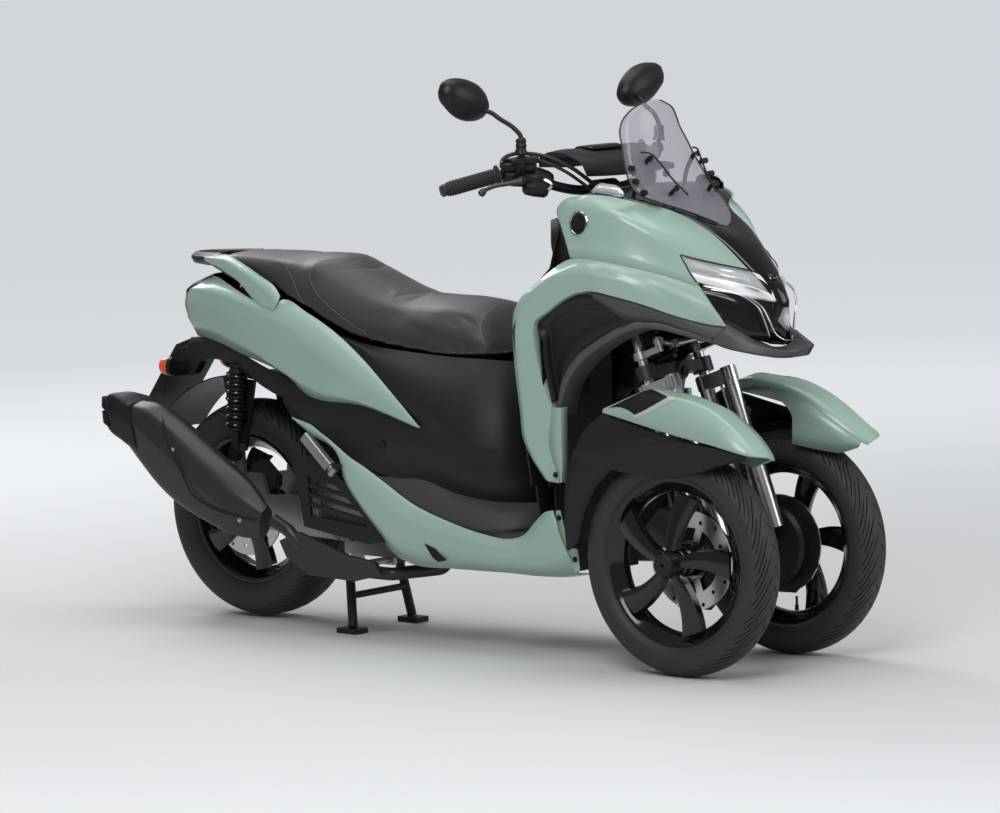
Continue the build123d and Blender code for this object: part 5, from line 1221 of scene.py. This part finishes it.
def swelling_bar(line, circles, radii, columns, sides):
    """Round bar whose radius runs straight between those given for the circles of these numbers."""
    return tube_along(line, np.interp(np.arange(columns), circles, radii), columns, sides)


fitting("mirror_stems", [
    tube_along([(262, 274, 1228), (289, 263, 1222), (308, 257, 1209), (343, 248, 1187), (356, 243, 1171),
                (357, 243, 1140), (354, 241, 1112)], 5.2, 60, 14),
    swelling_bar([(356, 243, 1168), (357, 243, 1158), (357, 243, 1148), (356, 243, 1132)],
                 [0, 4, 10, 14, 20, 26, 39], [6, 11, 12, 10.5, 12.5, 11, 15], 40, 20),
    tube_along([(355, 242, 1130), (352, 238, 1104), (342, 230, 1086)], 12, 12, 18)],
    satin_black, body="steering")

# Handlebar: a bent black tube clamped on the steering stem, whose foot carries the arm that moves
# the track rod.
BAR_LINE = [(392, 0, 1040), (390, 50, 1040), (386, 100, 1044), (376, 145, 1054), (350, 190, 1072),
            (298, 245, 1084), (260, 298, 1070), (224, 348, 1054)]
STEM_FOOT, STEM_HEAD = (533, 0, 652), (392.6, 0, 1038)
fitting("handlebar_tube", [tube_along(BAR_LINE, 11, 80, 20)], satin_black, body="steering",
        cad=["handlebar"])
fitting("steering_stem", [tube_along([STEM_FOOT, STEM_HEAD], 14, 30, 24),
                          tube_along([(392.6, -36, 1038), (392.6, 36, 1038)], 24, 16, 24),
                          tube_along([(536, 0, 662), (560, 0, 671), (586, 0, 681)], 9, 16, 16),
                          tube_along([(586.5, 0, 680.7), (574, 0, 715.1)], 6, 12, 16)],
        dark_alloy, body="steering", mirrored=False)

# Grips: ribbed rubber pushed over the bar's ends, with an inner flange, and an alloy end weight with
# a groove screwed into each end.
GRIP_IN, GRIP_OUT = np.array([296, 248, 1084]), np.array([230, 344, 1057])
GRIP_RADIUS, GRIP_FLANGE, GRIP_COLLAR = 16.2, 23.0, 19.0
GRIP_RIBS, GRIP_RIB_HEIGHT = 26, 0.9
GRIP_COLUMNS = 170
along_grip = np.linspace(0, 1, GRIP_COLUMNS)
ribbed = (along_grip > 0.10) * (along_grip < 0.95)
rib = GRIP_RADIUS + GRIP_RIB_HEIGHT * np.sign(np.sin(along_grip * 2 * np.pi * GRIP_RIBS)) * ribbed
grip_radius = np.where(along_grip < 0.045, GRIP_FLANGE, np.where(along_grip < 0.07, GRIP_COLLAR, rib))
fitting("bar_grips",
        [tube_along([GRIP_IN, (GRIP_IN + GRIP_OUT) / 2, GRIP_OUT], grip_radius, GRIP_COLUMNS, 28)],
        grip_rubber, body="steering", cad=["grips"])
end_step = (GRIP_OUT - GRIP_IN) / np.linalg.norm(GRIP_OUT - GRIP_IN)
fitting("bar_end_weights", [
    swelling_bar([GRIP_OUT + end_step * reach for reach in (-4, 6, 18)],
                 [0, 6, 7, 10, 11, 22, 29], [12, 12, 15, 15, 12.5, 14.5, 11], 30, 24)],
    dark_alloy, body="steering")

# Switch housings and brake cylinders on the bar inside the grips, levers with a ball end, their
# hoses, and the folded silver bracket beside them.
fitting("switch_housings", [
    swelling_bar([(372, 158, 1060), (350, 190, 1074), (322, 222, 1081), (300, 243, 1083)],
                 [0, 2, 5, 14, 18, 30, 36, 39], [14, 22, 25, 26, 23, 24, 22, 16], 40, 20),
    swelling_bar([(378, 176, 1046), (362, 196, 1052), (340, 222, 1058)],
                 [0, 3, 12, 20, 23], [10, 17, 19, 17, 9], 24, 16),
    swelling_bar([(312, 264, 1104), (330, 248, 1106), (352, 226, 1106), (372, 208, 1104)],
                 [0, 3, 6, 24, 27, 29], [9, 12, 14, 15, 13, 9], 30, 18),
    tube_along([(330, 236, 1078), (352, 244, 1076), (374, 262, 1074)], 9, 14, 14)],
    satin_black, body="steering", cad=["hand_controls"])
fitting("brake_levers", [
    swelling_bar([(308, 330, 1044), (313, 322, 1053), (327, 305, 1063), (352, 283, 1069), (376, 262, 1074)],
                 [0, 3, 7, 12, 40, 59], [4, 8.5, 8, 4.6, 5.4, 8], 60, 14)], dark_alloy, body="steering")
hose_rubber = finish("hose_rubber", (0.012, 0.012, 0.012), 0.5, depth=0.0001, grain=1400, slot="grip_rubber")
fitting("control_hoses", [
    tube_along([(315, 262, 1100), (309, 250, 1118), (318, 225, 1129), (343, 200, 1129), (372, 170, 1120),
                (410, 136, 1096), (430, 100, 1066), (436, 60, 1040)], 4.6, 70, 12),
    tube_along([(330, 250, 1100), (332, 236, 1110), (346, 216, 1117), (368, 188, 1112), (400, 150, 1090),
                (420, 110, 1060), (428, 72, 1034)], 3.8, 70, 12)], hose_rubber, body="steering")
fitting("switch_bracket", [
    tube_along([(352, 206, 1068), (362, 198, 1073), (380, 188, 1070), (392, 182, 1060), (384, 188, 1048)],
               4.2, 30, 10)], bare_steel, body="steering")
shell("reservoir_cap", [
    [(318, 262, 1112), (340, 240, 1115), (362, 214, 1116)],
    [(326, 268, 1122), (350, 244, 1126), (372, 218, 1127)],
    [(342, 266, 1120), (364, 244, 1124), (386, 220, 1125)],
    [(348, 262, 1108), (370, 240, 1110), (392, 216, 1111)]],
    [0.5, 0.5], satin_black, None, bodies=("steering",), outward=(0, 0, 1), columns=16)

# Cover clipped over the bar's middle: a black plastic hood with a raised rear edge, and a dark
# display let into it.
shell("bar_hood", [
    [(348, 172, 1098), (340, 120, 1094), (334, 60, 1090), (332, 0, 1090)],
    [(356, 182, 1118), (346, 124, 1118), (338, 62, 1116), (336, 0, 1116)],
    [(368, 168, 1131), (372, 122, 1136), (372, 62, 1134), (371, 0, 1133)],
    [(395, 150, 1130), (412, 112, 1128), (420, 60, 1126), (422, 0, 1126)],
    [(436, 132, 1108), (456, 100, 1108), (466, 56, 1108), (470, 0, 1108)],
    [(452, 132, 1078), (476, 98, 1078), (488, 54, 1078), (492, 0, 1078)]],
    [0.5, 0.5, 0.6, 0.6], grained_plastic, ["handlebar_cover"], bodies=("steering",), outward=(0, -0.1, 1),
    columns=40)
shell("display_glass", [
    [(349, 62, 1124), (345, 40, 1124), (344, 0, 1124)], [(352, 66, 1128), (349, 42, 1129), (348, 0, 1129)],
    [(372, 62, 1139), (372, 40, 1140), (372, 0, 1140)], [(410, 56, 1134), (414, 36, 1134), (415, 0, 1134)]],
    [0.3, 0.6], gloss_black, None, bodies=("steering",), outward=(0, 0, 1), columns=16)


# Exhaust pipe under its black plate, and the springs of the rear shock absorbers: open coils of
# round wire over the damper.
for pipe_slot in node["exhaust_pipe"].material_slots:
    pipe_slot.material = exhaust_black
COIL_TURNS, COIL_RADIUS, COIL_WIRE = 7.0, 22.0, 4.0
COIL_FOOT, COIL_RISE = (-643.5, 108.5, 462), (8.7, 0, 134)
wind = np.linspace(0, 1, 240)[:, None]
turn = wind * 2 * np.pi * COIL_TURNS
coil = COIL_FOOT + wind * COIL_RISE + COIL_RADIUS * np.hstack([np.cos(turn), np.sin(turn), 0 * turn])
fitting("shock_springs", [tube_along(coil, COIL_WIRE, 420, 10)], gloss_black)

# Radiator core behind the cover's slats, in dark alloy: fine slanted fins crossed by thin tubes,
# soldered into the radiator's frame.
FIN_TOP = [(-404, 402), (-390, 408), (-376, 404), (-362, 396), (-348, 380), (-334, 362), (-320, 344),
           (-306, 326), (-292, 308), (-278, 290), (-264, 272)]
# height, rear end, front end
CROSS_TUBES = [(392, -402, -362), (376, -402, -350), (360, -400, -338), (344, -400, -326), (328, -396, -314),
               (312, -394, -300), (296, -390, -288), (280, -384, -274), (264, -372, -262), (248, -350, -250)]
FIN_BOTTOM = 232
fin_bars = [tube_along([(x, -179, z), (x + 6, -179, z - 60), (x + 22, -179, max(z - 150, FIN_BOTTOM))],
                       0.9, 8, 6) for x, z in FIN_TOP]
cross_bars = [tube_along([(start, -180, level), (stop, -180, level)], 0.9, 6, 6)
              for level, start, stop in CROSS_TUBES]
fitting("radiator_mesh", fin_bars + cross_bars, dark_alloy, mirrored=False)

# Bolts that show: on each sill's flange, on the muffler's body and at its foot, each a six-sided
# head on a washer. The flange is body coloured and is bolted on behind the front wheel.
HEAD = [(0.01, 0), (8.5, 0), (8.5, 1.6), (6.2, 1.6), (6.0, 5.2), (5.2, 6.2), (0.01, 6.2)]


def bolt(x, y, z, size=0.8):
    """Six-sided head with its washer at a place in millimetres, standing out to the right."""
    return disc_on(np.array((x, y, z)) / 1000, (0, -1, 0), np.array(HEAD) * size, 6)


fitting("sill_flange",
        [plate([(402, 341), (414, 343), (426, 300), (434, 268), (462, 258), (467, 214), (456, 206),
                (430, 250), (404, 285)], 3, 205)], mint_paint)
fitting("shield_bolts", [bolt(424, -229, 425), bolt(412, -205, 326), bolt(455, -205, 236)], satin_black)
fitting("muffler_bolts", [bolt(-716, -245, 415, 0.9), bolt(-560, -236, 300), bolt(-520, -236, 262)],
        bare_steel, mirrored=False)
